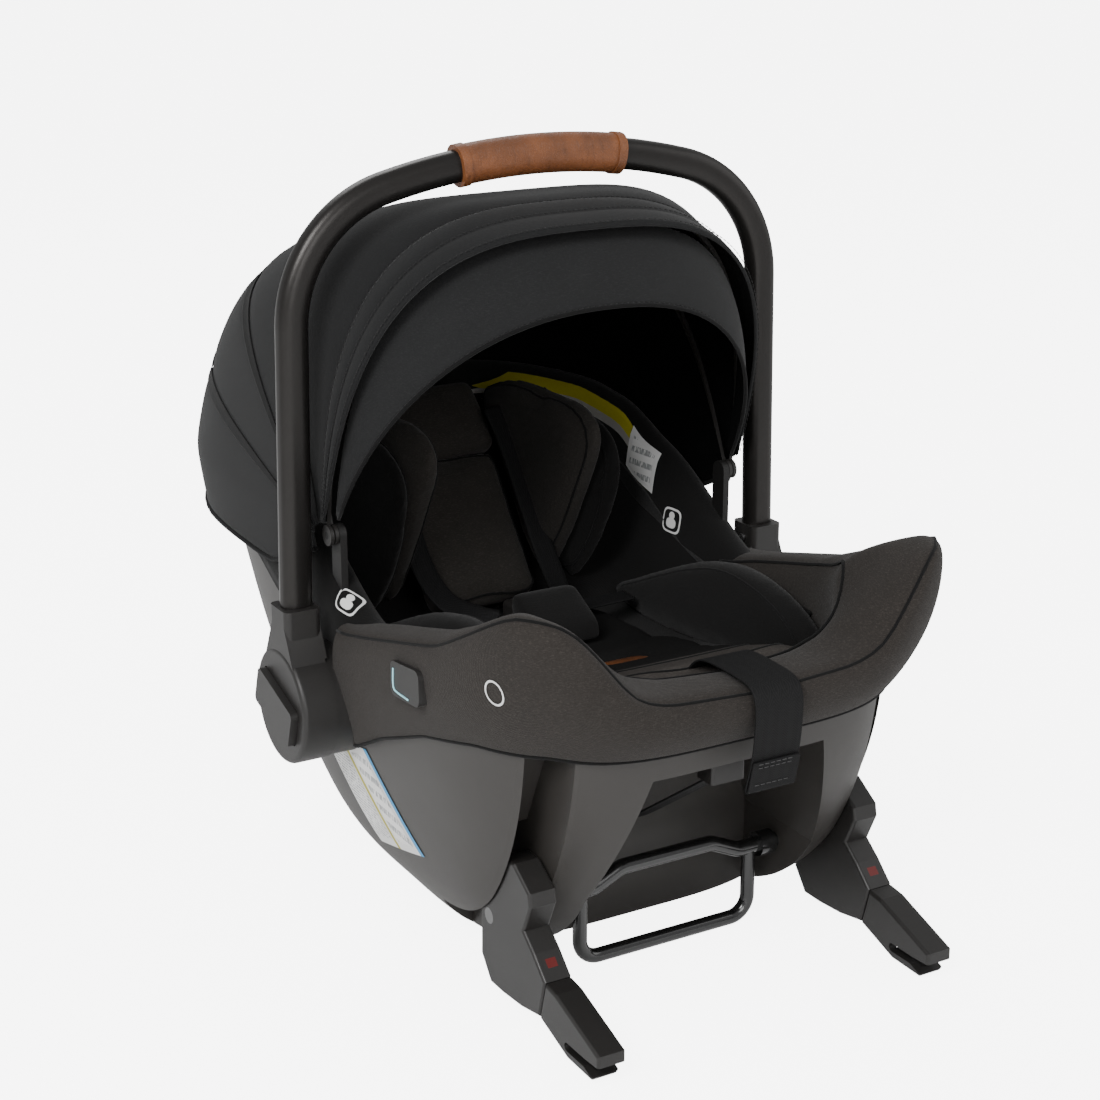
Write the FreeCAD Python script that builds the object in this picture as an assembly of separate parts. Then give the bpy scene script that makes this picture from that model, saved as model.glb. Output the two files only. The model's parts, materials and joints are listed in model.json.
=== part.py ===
import FreeCAD, Part
import math
import os

from FreeCAD import Vector

os.makedirs("parts", exist_ok=True)

# Infant car seat with a rigid-connector frame, a carrying handle and a folding canopy.
# Millimetres. +X is the occupant's left-right axis, +Y runs from the foot end to the head end,
# +Z is up. Shapes are drawn about the handle axis (y = 0) and moved to the middle of the length.

# Overall
CONNECTOR_REACH = 341.0     # handle axis to the tip of the connectors
TAIL_REACH = 354.0          # handle axis to the rear of the canopy
SHELL_HALF_WIDTH = 178.0    # outer half width of the plastic shell
SHELL_WALL = 3.0
FOAM_WALL = 26.0
SHELL_TAIL_GAP = 12.0       # the shell's tail stays inside the canopy by this much
FOOT_FLAT_FRONT = -132.0    # the flat that the seat stands on, front and rear ends
FOOT_FLAT_REAR = 60.0
FOOT_FLAT_HALF = 100.0

# Handle
HUB_HEIGHT = 172.0          # handle axis above the ground
HUB_RADIUS = 45.0
HANDLE_TOP = 571.0          # centre line of the crown above the ground
LEG_LEAN = 1.3              # degrees that the legs lean in from collar to shoulder
SHOULDER_RADIUS = 100.0
CROWN_HALF = 130.0
CROWN_RISE = 16.4
TUBE_WIDE = 24.0
TUBE_DEEP = 20.0
TUBE_WALL = 1.8
COLLAR_TOP = 250.0
COLLAR_WIDE = 29.0
TUBE_INSERT = 30.0          # length of tube inside the collar
GRIP_HALF = 70.0
GRIP_WALL = 3.0
BAND_LENGTH = 7.0
BAND_WALL = 4.0
ARM_INNER = 198.0           # inner and outer faces of the handle's end discs
ARM_OUTER = 226.0
PIN_RADIUS = 9.0
RUNNING_GAP = 0.05
SIDE_GAP = 0.4              # axial gap between a turning disc and its base
BASE_CLEAR = 1.5            # room for the base under the arm's neck
BUTTON_LONG = 64.0
BUTTON_HIGH = 31.0
BUTTON_TILT = 18.0
BUTTON_TRAVEL = 4.0
BUTTON_GAP = 0.6
BUTTON_PROUD = 6.0
BUTTON_SEAT = 4.0           # how far the plate's inner face lies below the disc's outer face
SPRING_WIRE = 1.2

# Canopy
CANOPY_AXIS_HEIGHT = 300.0
CANOPY_HALF_WIDTH = 186.0
CANOPY_RADIUS = 241.0
CANOPY_CLOTH = 2.5
PANEL_GAP = 1.5
BOW_ANGLE = 97.0            # from +Y, so past upright
BOW_WIDTH = 9.0
BOW_THICK = 3.0
MID_BOW_ANGLE = 66.0
CANOPY_PIN_RADIUS = 3.0

# Rigid connector frame
CONNECTOR_SPREAD = 280.0    # the standard distance between the two connectors
ARM_THICK = 22.0
SLOT_GAP = 1.5
FRAME_PIVOT_Y = -190.0
FRAME_PIVOT_Z = 62.0
TUBE_RADIUS = 6.0
HOOP_HALF = 75.0
HOOP_RADIUS = 5.5
ANCHOR_RADIUS = 3.2         # jaw, for a 6 mm anchor bar
JAW_Y = -300.0              # centre of the jaw's round end
JAW_Z = 12.0
HOOK_THICK = 8.0
HOOK_SIDE_GAP = 0.4
HOOK_PIVOT_Y = -290.0
HOOK_PIVOT_Z = 24.0
HOOK_PIN_RADIUS = 2.0

# Front cavity of the shell
CAVITY_TOP = 184.0
CAVITY_BACK = -150.0
CAVITY_HALF_TOP = 72.0
CAVITY_HALF_LOW = 99.0
CAVITY_LOW = 80.0

RIM_INSET = 15.0            # the padded rim at the head end stays inside the shell by this much
FIT = 0.3                   # gap between soft or curved neighbours


def vec(x, y, z):
    return Vector(float(x), float(y), float(z))


def box(x0, x1, y0, y1, z0, z1):
    return Part.makeBox(x1 - x0, y1 - y0, z1 - z0, vec(x0, y0, z0))


def polygon_face(points):
    return Part.Face(Part.makePolygon(points + [points[0]]))


def prism_x(outline, x0, x1):
    """Extrude a (y, z) outline along X."""
    return polygon_face([vec(x0, y, z) for y, z in outline]).extrude(vec(x1 - x0, 0, 0))


def prism_y(outline, y0, y1):
    """Extrude an (x, z) outline along Y."""
    return polygon_face([vec(x, y0, z) for x, z in outline]).extrude(vec(0, y1 - y0, 0))


def disc(x0, x1, y, z, radius):
    """Round disc or pin along X between two x values."""
    return Part.makeCylinder(radius, abs(x1 - x0), vec(min(x0, x1), y, z), vec(1, 0, 0))


def mirrored(shape):
    return shape.mirror(vec(0, 0, 0), vec(1, 0, 0))


def fuse(shapes):
    joined = shapes[0].fuse(shapes[1:]) if len(shapes) > 1 else shapes[0]
    return joined.removeSplitter()


def cut(shape, *tools):
    return shape.cut(list(tools))


def rounded(shape, radius, chooser):
    edges = [edge for edge in shape.Edges if chooser(edge)]
    return shape.makeFillet(radius, edges)


def along(edge, direction):
    """True for a straight edge that runs along the direction."""
    if not isinstance(edge.Curve, Part.Line):
        return False
    return abs(edge.Curve.Direction.dot(direction)) > 0.999


def closed_spline(points):
    curve = Part.BSplineCurve()
    curve.interpolate(Points=points, PeriodicFlag=True)
    return Part.Wire([curve.toShape()])


def loft(wires):
    return Part.makeLoft(wires, True, False)


def signed_power(value, exponent):
    return math.copysign(abs(value) ** exponent, value)


# ---------------------------------------------------------------- shell

def plan_outline(level, inset=0.0, drop=0.0):
    """Plan section of the shell: squarer at the front than at the tail."""
    height, half, front, rear = level
    half = half - inset
    front = front + inset
    rear = rear - inset
    middle = (front + rear) / 2
    reach = (rear - front) / 2
    points = []
    for step in range(28):
        angle = 2 * math.pi * step / 28
        power = 4.6 if math.sin(angle) < 0 else 3.4
        x = half * signed_power(math.cos(angle), 2 / power)
        y = middle + reach * signed_power(math.sin(angle), 2 / power)
        points.append(vec(x, y, height + drop))
    return closed_spline(points)


def shell_levels():
    """(height, half width, front, rear) of the shell at the heights that shape it."""
    tail = TAIL_REACH - SHELL_TAIL_GAP
    wide = SHELL_HALF_WIDTH
    return [
        (0.0, FOOT_FLAT_HALF, FOOT_FLAT_FRONT, FOOT_FLAT_REAR),
        (18.0, wide - 50, -172.0, 84.0),
        (50.0, wide - 22, -218.0, 124.0),
        (100.0, wide - 8, -252.0, tail - 158),
        (160.0, wide - 2, -276.0, tail - 92),
        (225.0, wide, -288.0, tail - 36),
        (290.0, wide + 4, -292.0, tail),
        (330.0, wide + 6, -294.0, tail + 2),
    ]


def shell_block(inset=0.0, raised=0.0):
    """The shell's outer form, or the same form set in from it."""
    levels = shell_levels()
    wires = [plan_outline(levels[0], inset, raised)]
    wires += [plan_outline(level, inset) for level in levels[1:]]
    return loft(wires)


def above_rim(lift=0.0):
    """Everything over the shell's rim."""
    rim = [(-330, 214), (-60, 222), (20, 236), (80, 268), (150, 296), (400, 302)]
    outline = [(y, z + lift) for y, z in rim] + [(400, 420), (-330, 420)]
    return prism_x(outline, -240, 240)


def front_cavity(margin=0.0):
    """The open space between the front legs."""
    top = CAVITY_TOP + margin
    half = CAVITY_HALF_TOP + margin
    low = CAVITY_HALF_LOW + margin
    outline = [(-half, top), (-low, CAVITY_LOW), (-low, -20), (low, -20), (low, CAVITY_LOW), (half, top)]
    return prism_y(outline, -340, CAVITY_BACK + margin)


def arm_slots(margin=0.0):
    """Upright slots that take the connector arms when they are folded."""
    half = ARM_THICK / 2 + SLOT_GAP + margin
    centre = CONNECTOR_SPREAD / 2
    back = [(-122, -20), (-122, 134), (-204, 138), (-214, 160), (-236, 208)]
    outline = [(-340, -20)] + [(y + margin, z + margin) for y, z in back] + [(-340, 212 + margin)]
    right = prism_x(outline, centre - half, centre + half)
    return [right, mirrored(right)]


def tube_holes(radius):
    """Way through the inner leg walls for the cross tube."""
    return disc(-CONNECTOR_SPREAD / 2, CONNECTOR_SPREAD / 2, FRAME_PIVOT_Y, FRAME_PIVOT_Z, radius)


def lower_shell(outer):
    inner = shell_block(SHELL_WALL, SHELL_WALL)
    walls = cut(outer, inner)
    voids = [front_cavity()] + arm_slots()
    lined = [front_cavity(SHELL_WALL)] + arm_slots(SHELL_WALL)
    linings = [outer.common(shape) for shape in lined]
    shell = fuse([walls] + linings)
    shell = cut(shell, above_rim(), *voids)
    shell = cut(shell, tube_holes(TUBE_RADIUS + RUNNING_GAP))
    return shell


def bucket_space():
    """The room for the occupant and the pads."""
    outline = [
        (-262, 420), (-262, 226), (-150, 194), (-60, 168), (60, 162),
        (118, 168), (200, 276), (262, 330), (262, 420),
    ]
    return prism_x(outline, -148, 148)


def foam_liner():
    """Foam bucket between the shell and the pads."""
    gap = SHELL_WALL + 1.0
    wall = FOAM_WALL
    outline = [
        (-300, 420), (-300, 226 - wall), (-150, 194 - wall), (-60, 168 - wall), (60, 162 - wall),
        (118 + wall * 0.6, 168 - wall), (200 + wall * 0.8, 276 - wall), (320, 330), (320, 420),
    ]
    block = shell_block(gap, gap).common(prism_x(outline, -220, 220))
    block = cut(block, above_rim(-2.0), front_cavity(gap), *arm_slots(gap))
    return cut(block, bucket_space())


# ---------------------------------------------------------------- soft cover

def bumper_profile():
    """Side outline of the front of the cover: hem below, rim above."""
    return [
        (-330, 198), (-262, 212), (-205, 206), (-144, 192), (-77, 166), (-30, 140),
        (-30, 236), (-82, 248), (-135, 262), (-189, 276), (-240, 305), (-262, 318), (-330, 326),
    ]


def lip_profile():
    """Front outline of the cover: low lip in the middle, raised corners."""
    return [
        (-220, 120), (220, 120), (220, 300), (190, 307), (152, 323), (128, 292), (106, 260),
        (0, 245), (-106, 260), (-128, 292), (-152, 323), (-190, 307), (-220, 300),
    ]


def front_cover(outer):
    half = SHELL_HALF_WIDTH + 16
    front = -311.0
    block = box(-half, half, front, -30, 120, 340)
    block = rounded(block, 68, lambda e: along(e, Vector(0, 0, 1)) and e.Vertexes[0].Y < -200)
    well = box(-150, 150, -256, 0, 100, 360)
    well = rounded(well, 46, lambda e: along(e, Vector(0, 0, 1)) and e.Vertexes[0].Y < -200)
    ring = cut(block, well)
    ring = ring.common(prism_x(bumper_profile(), -230, 230))
    ring = ring.common(prism_y(lip_profile(), -330, 0))
    ring = cut(ring, outer.cut(above_rim(FIT)))
    return cut(ring, disc(-240, 240, 0, HUB_HEIGHT, HUB_RADIUS + 3), button_pockets())


def rear_cover(outer):
    """Padded rim and lining around the head end."""
    rim = [(-29, 225), (20, 238), (80, 272), (150, 300), (340, 306), (340, 330), (150, 326), (60, 298), (-29, 236)]
    band = prism_x(rim, -200, 200).common(shell_block(RIM_INSET))
    return cut(band, bucket_space(), outer.cut(above_rim(FIT)))


def soft_pad(outline, half, radius):
    pad = prism_x(outline, -half, half)
    return rounded(pad, radius, lambda e: True)


def offset_strip(start, end, thick):
    """A (y, z) outline of a slab from start to end, thickened to its back-right side."""
    dy = end[0] - start[0]
    dz = end[1] - start[1]
    length = math.hypot(dy, dz)
    ny = dz / length * thick
    nz = -dy / length * thick
    return [start, end, (end[0] + ny, end[1] + nz), (start[0] + ny, start[1] + nz)]


BACK_FOOT = (80.0, 193.0)
BACK_SEAM = (160.0, 300.0)
BACK_TOP = (214.0, 352.0)
BACK_THICK = 34.0


def torso_pad():
    return soft_pad(offset_strip(BACK_FOOT, BACK_SEAM, BACK_THICK), 50, 8)


def head_pad():
    start = (BACK_SEAM[0] + 0.8, BACK_SEAM[1] + 0.8)
    return soft_pad(offset_strip(start, BACK_TOP, BACK_THICK - 6), 56, 8)


def head_wing():
    """Side bolster of the insert, on the +X side."""
    outline = [(30, 190), (58, 268), (84, 322), (128, 352), (176, 344), (206, 322), (150, 246), (104, 188)]
    wing = prism_x(outline, 62, 104)
    return rounded(wing, 12, lambda e: True)


def thigh_pad():
    """Side bolster beside the occupant's leg, on the +X side."""
    outline = [(-236, 226), (-196, 212), (-150, 202), (-60, 176), (10, 172), (16, 212), (-60, 236), (-140, 243), (-200, 240)]
    pad = prism_x(outline, 98, 143)
    return rounded(pad, 12, lambda e: True)


SEAT_PAD_LOW = [(-254, 228), (-150, 196), (-60, 170), (54, 166)]
SEAT_PAD_TOP = [(54, 184), (-52, 188), (-142, 208), (-254, 246)]


def seat_pad():
    pad = rounded(prism_x(SEAT_PAD_LOW + SEAT_PAD_TOP, -92, 92), 6, lambda e: True)
    return cut(pad, box(-15, 15, -128, -100, 150, 230))


def shoulder_strap():
    """Webbing from the slot in the back down to the tongue, on the +X side."""
    front = [(150, 303), (74, 196), (36, 192)]
    back = [(36, 190.4), (74.8, 194.4), (151.2, 301.8)]
    return prism_x(front + back, 14, 44)


BUCKLE_FRONT = 6.0
BUCKLE_BACK = 29.0
BUCKLE_LOW = 189.0
BUCKLE_TOP = 212.0
TONGUE_LOW = 197.0
TONGUE_TOP = 199.4
SMALL_TRAVEL = 3.0


def lap_strap():
    """Webbing from the tongue out to the hip, on the +X side."""
    return box(31, 97, 8, 28, 190.6, 192.2)


def crotch_pad():
    return soft_pad([(-56, 192), (-4, 196), (4, 226), (-10, 232), (-50, 212)], 30, 5)


def tongue():
    """Metal tongue of the harness, on the +X side."""
    blade = box(10, 34, BUCKLE_FRONT + 5, BUCKLE_BACK - 5, TONGUE_LOW, TONGUE_TOP)
    loop = box(24, 34, BUCKLE_FRONT + 3, BUCKLE_BACK + 4, TONGUE_LOW, TONGUE_TOP)
    return fuse([blade, loop])


def buckle_button(grow=0.0, lower=0.0):
    half = 9 + grow
    front = BUCKLE_FRONT + 5 - grow
    back = BUCKLE_BACK - 5 + grow
    button = box(-half, half, front, back, BUCKLE_TOP - 4 - lower, BUCKLE_TOP + 1.5)
    return rounded(button, 2.0, lambda e: along(e, Vector(0, 0, 1)))


def buckle_body(tongues):
    body = box(-19, 19, BUCKLE_FRONT, BUCKLE_BACK, BUCKLE_LOW, BUCKLE_TOP)
    body = rounded(body, 4, lambda e: True)
    return cut(body, buckle_button(BUTTON_GAP, SMALL_TRAVEL + 0.8), *tongues)


def adjuster_housing(pad):
    """Housing of the harness adjuster, let into the foam under the seat pad."""
    block = box(-22, 22, -134, -94, 160, 205)
    block = cut(block, prism_x(SEAT_PAD_LOW + [(54, 260), (-254, 260)], -200, 200))
    return cut(block, adjuster_button(BUTTON_GAP, SMALL_TRAVEL + 0.8))


def adjuster_button(grow=0.0, lower=0.0):
    half = 10 + grow
    return box(-half, half, -122 - grow, -106 + grow, 174 - lower, 187)


def leather_tab():
    """Flap over the adjuster, lying on the seat pad."""
    outline = [(-146, 209.4), (-142, 208.6), (-100, 199.2), (-100, 200.8), (-142, 210.2), (-146, 211.0)]
    return prism_x(outline, -19, 19)


def pull_strap():
    """Webbing that hangs over the front lip, a little to the right of the middle."""
    outline = [
        (-236, 251.2), (-262, 251.2), (-304, 251.2), (-312.4, 249), (-313.2, 236), (-312.6, 200), (-303, 172),
        (-304.8, 171.4), (-314.6, 199.6), (-315.4, 237), (-314.4, 250.6), (-304.6, 253.2), (-262, 253.2), (-236, 253.2),
    ]
    return prism_x(outline, -14.5, 24.5)


def release_bracket(shell_top):
    """Holder of the frame's release webbing, under the roof of the front cavity."""
    block = box(-24, 4, -282, -262, shell_top - 14, shell_top)
    return rounded(block, 2.5, lambda e: along(e, Vector(0, 0, 1)))


def release_strap(shell_top):
    """Webbing from the bracket down to the lock at the back of the cavity."""
    top = shell_top - 14
    outline = [(-270, top), (-268, top), (-160, 92), (-150.2, 92), (-150.2, 90), (-161, 90)]
    return prism_x(outline, -20, 0)


def canopy_mount():
    """Upright plate with the canopy's hinge pin, on the +X side."""
    inner = CANOPY_HALF_WIDTH - 16
    outer = CANOPY_HALF_WIDTH - 10.5
    plate = box(inner, outer, -8, 8, 224, CANOPY_AXIS_HEIGHT)
    top = disc(inner, outer, 0, CANOPY_AXIS_HEIGHT, 8)
    pin = disc(inner, CANOPY_HALF_WIDTH - CANOPY_CLOTH - 0.6, 0, CANOPY_AXIS_HEIGHT, CANOPY_PIN_RADIUS)
    return fuse([plate, top, pin])


# ---------------------------------------------------------------- handle

def handle_path():
    """Centre line of the tube: leg, shoulder, crown, shoulder, leg."""
    crown_radius = (CROWN_HALF ** 2 + CROWN_RISE ** 2) / (2 * CROWN_RISE)
    start = math.asin(CROWN_HALF / crown_radius)
    crown_z = HANDLE_TOP - CROWN_RISE
    lean = math.radians(LEG_LEAN)
    end = math.pi / 2 - lean
    centre_x = CROWN_HALF - SHOULDER_RADIUS * math.sin(start)
    centre_z = crown_z - SHOULDER_RADIUS * math.cos(start)

    def shoulder(angle, side):
        x = centre_x + SHOULDER_RADIUS * math.sin(angle)
        z = centre_z + SHOULDER_RADIUS * math.cos(angle)
        return vec(side * x, 0, z)

    bottom_z = COLLAR_TOP - TUBE_INSERT
    knee = shoulder(end, 1)
    foot_x = knee.x + (knee.z - bottom_z) * math.tan(lean)
    middle = (start + end) / 2
    edges = [
        Part.LineSegment(vec(foot_x, 0, bottom_z), knee).toShape(),
        Part.Arc(knee, shoulder(middle, 1), shoulder(start, 1)).toShape(),
        Part.Arc(shoulder(start, 1), vec(0, 0, HANDLE_TOP), shoulder(start, -1)).toShape(),
        Part.Arc(shoulder(start, -1), shoulder(middle, -1), shoulder(end, -1)).toShape(),
        Part.LineSegment(shoulder(end, -1), vec(-foot_x, 0, bottom_z)).toShape(),
    ]
    return Part.Wire(edges), foot_x, crown_radius


def oval_outline(centre, wide, deep, power=2.5, turn=0.0):
    """Flat oval across the tube, in the plane whose in-plane axis is turned about Y."""
    points = []
    for step in range(16):
        angle = 2 * math.pi * step / 16
        across = wide / 2 * signed_power(math.cos(angle), 2 / power)
        along_y = deep / 2 * signed_power(math.sin(angle), 2 / power)
        x = centre.x + across * math.cos(turn)
        z = centre.z + across * math.sin(turn)
        points.append(vec(x, centre.y + along_y, z))
    return closed_spline(points)


def handle_tube(inset=0.0):
    """The tube's outer form, or its bore when set in by the wall."""
    path, foot_x, _ = handle_path()
    foot = vec(foot_x, 0, COLLAR_TOP - TUBE_INSERT)
    wide = TUBE_WIDE - 2 * inset
    deep = TUBE_DEEP - 2 * inset
    profile = oval_outline(foot, wide, deep, 2.5, math.radians(LEG_LEAN))
    return path.makePipeShell([profile], True, False)


def crown_sleeve(from_x, to_x, wall, tube):
    """Sleeve round the tube's crown between two x values."""
    _, _, radius = handle_path()
    low = HANDLE_TOP - radius
    start = math.asin(from_x / radius)
    end = math.asin(to_x / radius)
    points = []
    for angle in (start, (start + end) / 2, end):
        points.append(vec(radius * math.sin(angle), 0, low + radius * math.cos(angle)))
    arc = Part.Wire([Part.Arc(points[0], points[1], points[2]).toShape()])
    wide = TUBE_WIDE + 2 * wall
    deep = TUBE_DEEP + 2 * wall
    profile = oval_outline(points[0], wide, deep, 2.2, math.pi / 2 - start)
    return cut(arc.makePipeShell([profile], True, False), tube)


def handle_arm(tube):
    """End disc with the neck and collar that take the tube, on the +X side."""
    wheel = disc(ARM_INNER, ARM_OUTER, 0, HUB_HEIGHT, HUB_RADIUS)
    wheel = rounded(wheel, 4, lambda e: abs(e.CenterOfMass.x - ARM_OUTER) < 0.1)
    neck_outline = [(-30, HUB_HEIGHT + 26), (-15.5, HUB_HEIGHT + 56), (-15.5, COLLAR_TOP), (15.5, COLLAR_TOP),
                    (15.5, HUB_HEIGHT + 56), (30, HUB_HEIGHT + 26)]
    foot_x = handle_path()[1]
    inner = foot_x - COLLAR_WIDE / 2
    outer = foot_x + COLLAR_WIDE / 2
    neck = prism_x(neck_outline, inner, outer)
    neck = rounded(neck, 5, lambda e: along(e, Vector(0, 0, 1)))
    arm = fuse([wheel, neck])
    arm = cut(arm, tube, disc(ARM_INNER - 1, ARM_OUTER, 0, HUB_HEIGHT, PIN_RADIUS + RUNNING_GAP))
    arm = cut(arm, disc(ARM_INNER - 20, ARM_INNER, 0, HUB_HEIGHT, HUB_RADIUS + BASE_CLEAR))
    pocket = button_plate(BUTTON_GAP, ARM_OUTER - BUTTON_SEAT - BUTTON_TRAVEL - 1.0, ARM_OUTER + 1)
    return cut(arm, pocket)


def button_plate(grow, x0, x1):
    long = BUTTON_LONG / 2 + grow
    high = BUTTON_HIGH / 2 + grow
    plate = box(x0, x1, -long, long, HUB_HEIGHT - high, HUB_HEIGHT + high)
    plate = rounded(plate, 4, lambda e: along(e, Vector(1, 0, 0)))
    plate.rotate(vec(0, 0, HUB_HEIGHT), vec(1, 0, 0), BUTTON_TILT)
    return plate.common(disc(x0, x1, 0, HUB_HEIGHT, HUB_RADIUS - 3 + grow))


def hub_button():
    return button_plate(0, ARM_OUTER - BUTTON_SEAT, ARM_OUTER + BUTTON_PROUD)


def hub_base():
    base = disc(SHELL_HALF_WIDTH - 12, ARM_INNER - SIDE_GAP, 0, HUB_HEIGHT, HUB_RADIUS - 1)
    return cut(base, disc(SHELL_HALF_WIDTH - 13, ARM_INNER, 0, HUB_HEIGHT, PIN_RADIUS))


def hub_pin():
    end = ARM_OUTER - BUTTON_SEAT - BUTTON_TRAVEL - 2.0
    return disc(SHELL_HALF_WIDTH + 1, end, 0, HUB_HEIGHT, PIN_RADIUS)


def hub_spring():
    """Flat wave spring behind the button plate."""
    x0 = ARM_OUTER - BUTTON_SEAT - BUTTON_TRAVEL - 0.9
    x1 = ARM_OUTER - BUTTON_SEAT
    ring = disc(x0, x1 - 0.1, 0, HUB_HEIGHT, 13)
    return cut(ring, disc(x0 - 1, x1 + 1, 0, HUB_HEIGHT, 13 - SPRING_WIRE))


def arm_screws():
    """One screw head on the inner face of each collar."""
    foot_x = handle_path()[1]
    face = foot_x - COLLAR_WIDE / 2
    head = disc(face - 1.6, face, 0, COLLAR_TOP - 12, 3.4)
    head = cut(head, box(face - 2, face - 0.8, -3, 3, COLLAR_TOP - 12.5, COLLAR_TOP - 11.5))
    return [head, mirrored(head)]


# ---------------------------------------------------------------- canopy

def arch_points(half, radius, power, steps):
    points = []
    for step in range(steps + 1):
        angle = math.pi * step / steps
        x = half * signed_power(math.cos(angle), 2 / power)
        q = radius * max(math.sin(angle), 0.0) ** (2 / power)
        points.append((x, q))
    return points


def arch_face(half, radius, thick, degrees, power=3.0):
    """C-shaped section through the canopy, in the plane tilted by the angle from +Y."""
    tilt = math.radians(degrees)

    def place(x, q):
        return vec(x, q * math.cos(tilt), CANOPY_AXIS_HEIGHT + q * math.sin(tilt))

    outer = [place(x, q) for x, q in arch_points(half, radius, power, 20)]
    inner = [place(x, q) for x, q in arch_points(half - thick, radius - thick, power, 20)]
    inner.reverse()
    top = Part.BSplineCurve()
    top.interpolate(outer)
    low = Part.BSplineCurve()
    low.interpolate(inner)
    edges = [
        top.toShape(),
        Part.LineSegment(outer[-1], inner[0]).toShape(),
        low.toShape(),
        Part.LineSegment(inner[-1], outer[0]).toShape(),
    ]
    return Part.Wire(edges)


def turned_panel(half, radius, thick, start, end):
    """A panel that is part of a body of revolution about the canopy's hinge axis."""
    face = Part.Face(arch_face(half, radius, thick, start))
    return face.revolve(vec(0, 0, CANOPY_AXIS_HEIGHT), vec(1, 0, 0), end - start)


def hinge_clear(radius):
    return disc(-230, 230, 0, CANOPY_AXIS_HEIGHT, radius)


def canopy_front_panel():
    panel = turned_panel(CANOPY_HALF_WIDTH, CANOPY_RADIUS, CANOPY_CLOTH, 76, 107)
    return cut(panel, hinge_clear(16))


def canopy_mid_panel():
    inset = CANOPY_CLOTH + PANEL_GAP
    panel = turned_panel(CANOPY_HALF_WIDTH - inset, CANOPY_RADIUS - inset, CANOPY_CLOTH, 48, 84)
    return cut(panel, hinge_clear(20))


def rear_radius(degrees):
    """Distance of the rear panel from the hinge axis, grown smoothly towards the tail."""
    low_end = TAIL_REACH
    high_end = CANOPY_RADIUS + 14
    share = max(0.0, min(1.0, (62.0 - degrees) / 62.0))
    return high_end + (low_end - high_end) * share ** 1.35


def canopy_rear_panel():
    wires = []
    for degrees in (56, 44, 32, 20, 9, 0):
        half = CANOPY_HALF_WIDTH + 4
        wires.append(arch_face(half, rear_radius(degrees), 3.0, degrees, 3.2))
    panel = loft(wires)
    return cut(panel, hinge_clear(30))


def canopy_hem(outer):
    """Skirt of the canopy that wraps the tail of the shell below the hinge line."""
    levels = [(CANOPY_AXIS_HEIGHT - 0.5, 0.0), (CANOPY_AXIS_HEIGHT - 45, -16.0)]

    def skirt(inset):
        wires = []
        for height, shrink in levels:
            rear = TAIL_REACH + shrink - inset
            half = CANOPY_HALF_WIDTH + 4 + shrink / 3 - inset
            wires.append(plan_outline((height, half, -TAIL_REACH, rear)))
        return loft(wires)

    band = cut(skirt(0.0), skirt(3.0), outer)
    return band.common(box(-300, 300, 70, 400, 200, 400))


def bow(half, radius, degrees, width):
    sweep = math.degrees(width / radius)
    start = degrees - sweep / 2
    face = Part.Face(arch_face(half, radius, BOW_THICK, start))
    return face.revolve(vec(0, 0, CANOPY_AXIS_HEIGHT), vec(1, 0, 0), sweep)


def eyed_bow(inset, degrees):
    """Bow with an eye round the hinge pin at each end."""
    half = CANOPY_HALF_WIDTH - inset
    arch = bow(half, CANOPY_RADIUS - inset, degrees, BOW_WIDTH)
    eye = disc(half - BOW_THICK, half, 0, CANOPY_AXIS_HEIGHT, 8)
    hole = hinge_clear(CANOPY_PIN_RADIUS + RUNNING_GAP)
    return cut(fuse([arch, eye, mirrored(eye)]), hole)


def canopy_front_bow():
    return eyed_bow(CANOPY_CLOTH + 0.5, BOW_ANGLE)


def canopy_mid_bow():
    return eyed_bow(2 * CANOPY_CLOTH + PANEL_GAP + 0.5, MID_BOW_ANGLE)


def canopy_visor():
    wires = []
    for degrees, radius in ((99, 229.0), (110, 215.0), (120, 199.0)):
        wires.append(arch_face(CANOPY_HALF_WIDTH - 12, radius, CANOPY_CLOTH, degrees, 2.7))
    return cut(loft(wires), hinge_clear(34))


# ---------------------------------------------------------------- connector frame

def latch_arm():
    """Bracket from the shell slot down and forward to the connector, on the +X side."""
    outline = [
        (-212, 118), (-226, 118), (-248, 104), (-250, 94), (-240, 72), (-254, 61), (-270, 46),
        (-262, 16), (-236, 11), (-210, 9), (-191, 9), (-177, 27), (-178, 74), (-196, 96),
    ]
    half = ARM_THICK / 2
    centre = CONNECTOR_SPREAD / 2
    arm = prism_x(outline, centre - half, centre + half)
    arm = rounded(arm, 2.5, lambda e: not along(e, Vector(1, 0, 0)))
    return cut(arm, disc(0, centre + half + 1, FRAME_PIVOT_Y, FRAME_PIVOT_Z, TUBE_RADIUS))


def jaw_space():
    """Round-ended slot for the anchor bar, flared at its mouth."""
    low = JAW_Z - ANCHOR_RADIUS
    high = JAW_Z + ANCHOR_RADIUS
    centre = CONNECTOR_SPREAD / 2
    x0 = centre - ARM_THICK
    x1 = centre + ARM_THICK
    straight = box(x0, x1, -360, JAW_Y, low, high)
    mouth = prism_x([(-322, low), (-360, low - 14), (-360, high + 2), (-322, high)], x0, x1)
    return [straight, mouth, disc(x0, x1, JAW_Y, JAW_Z, ANCHOR_RADIUS)]


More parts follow.
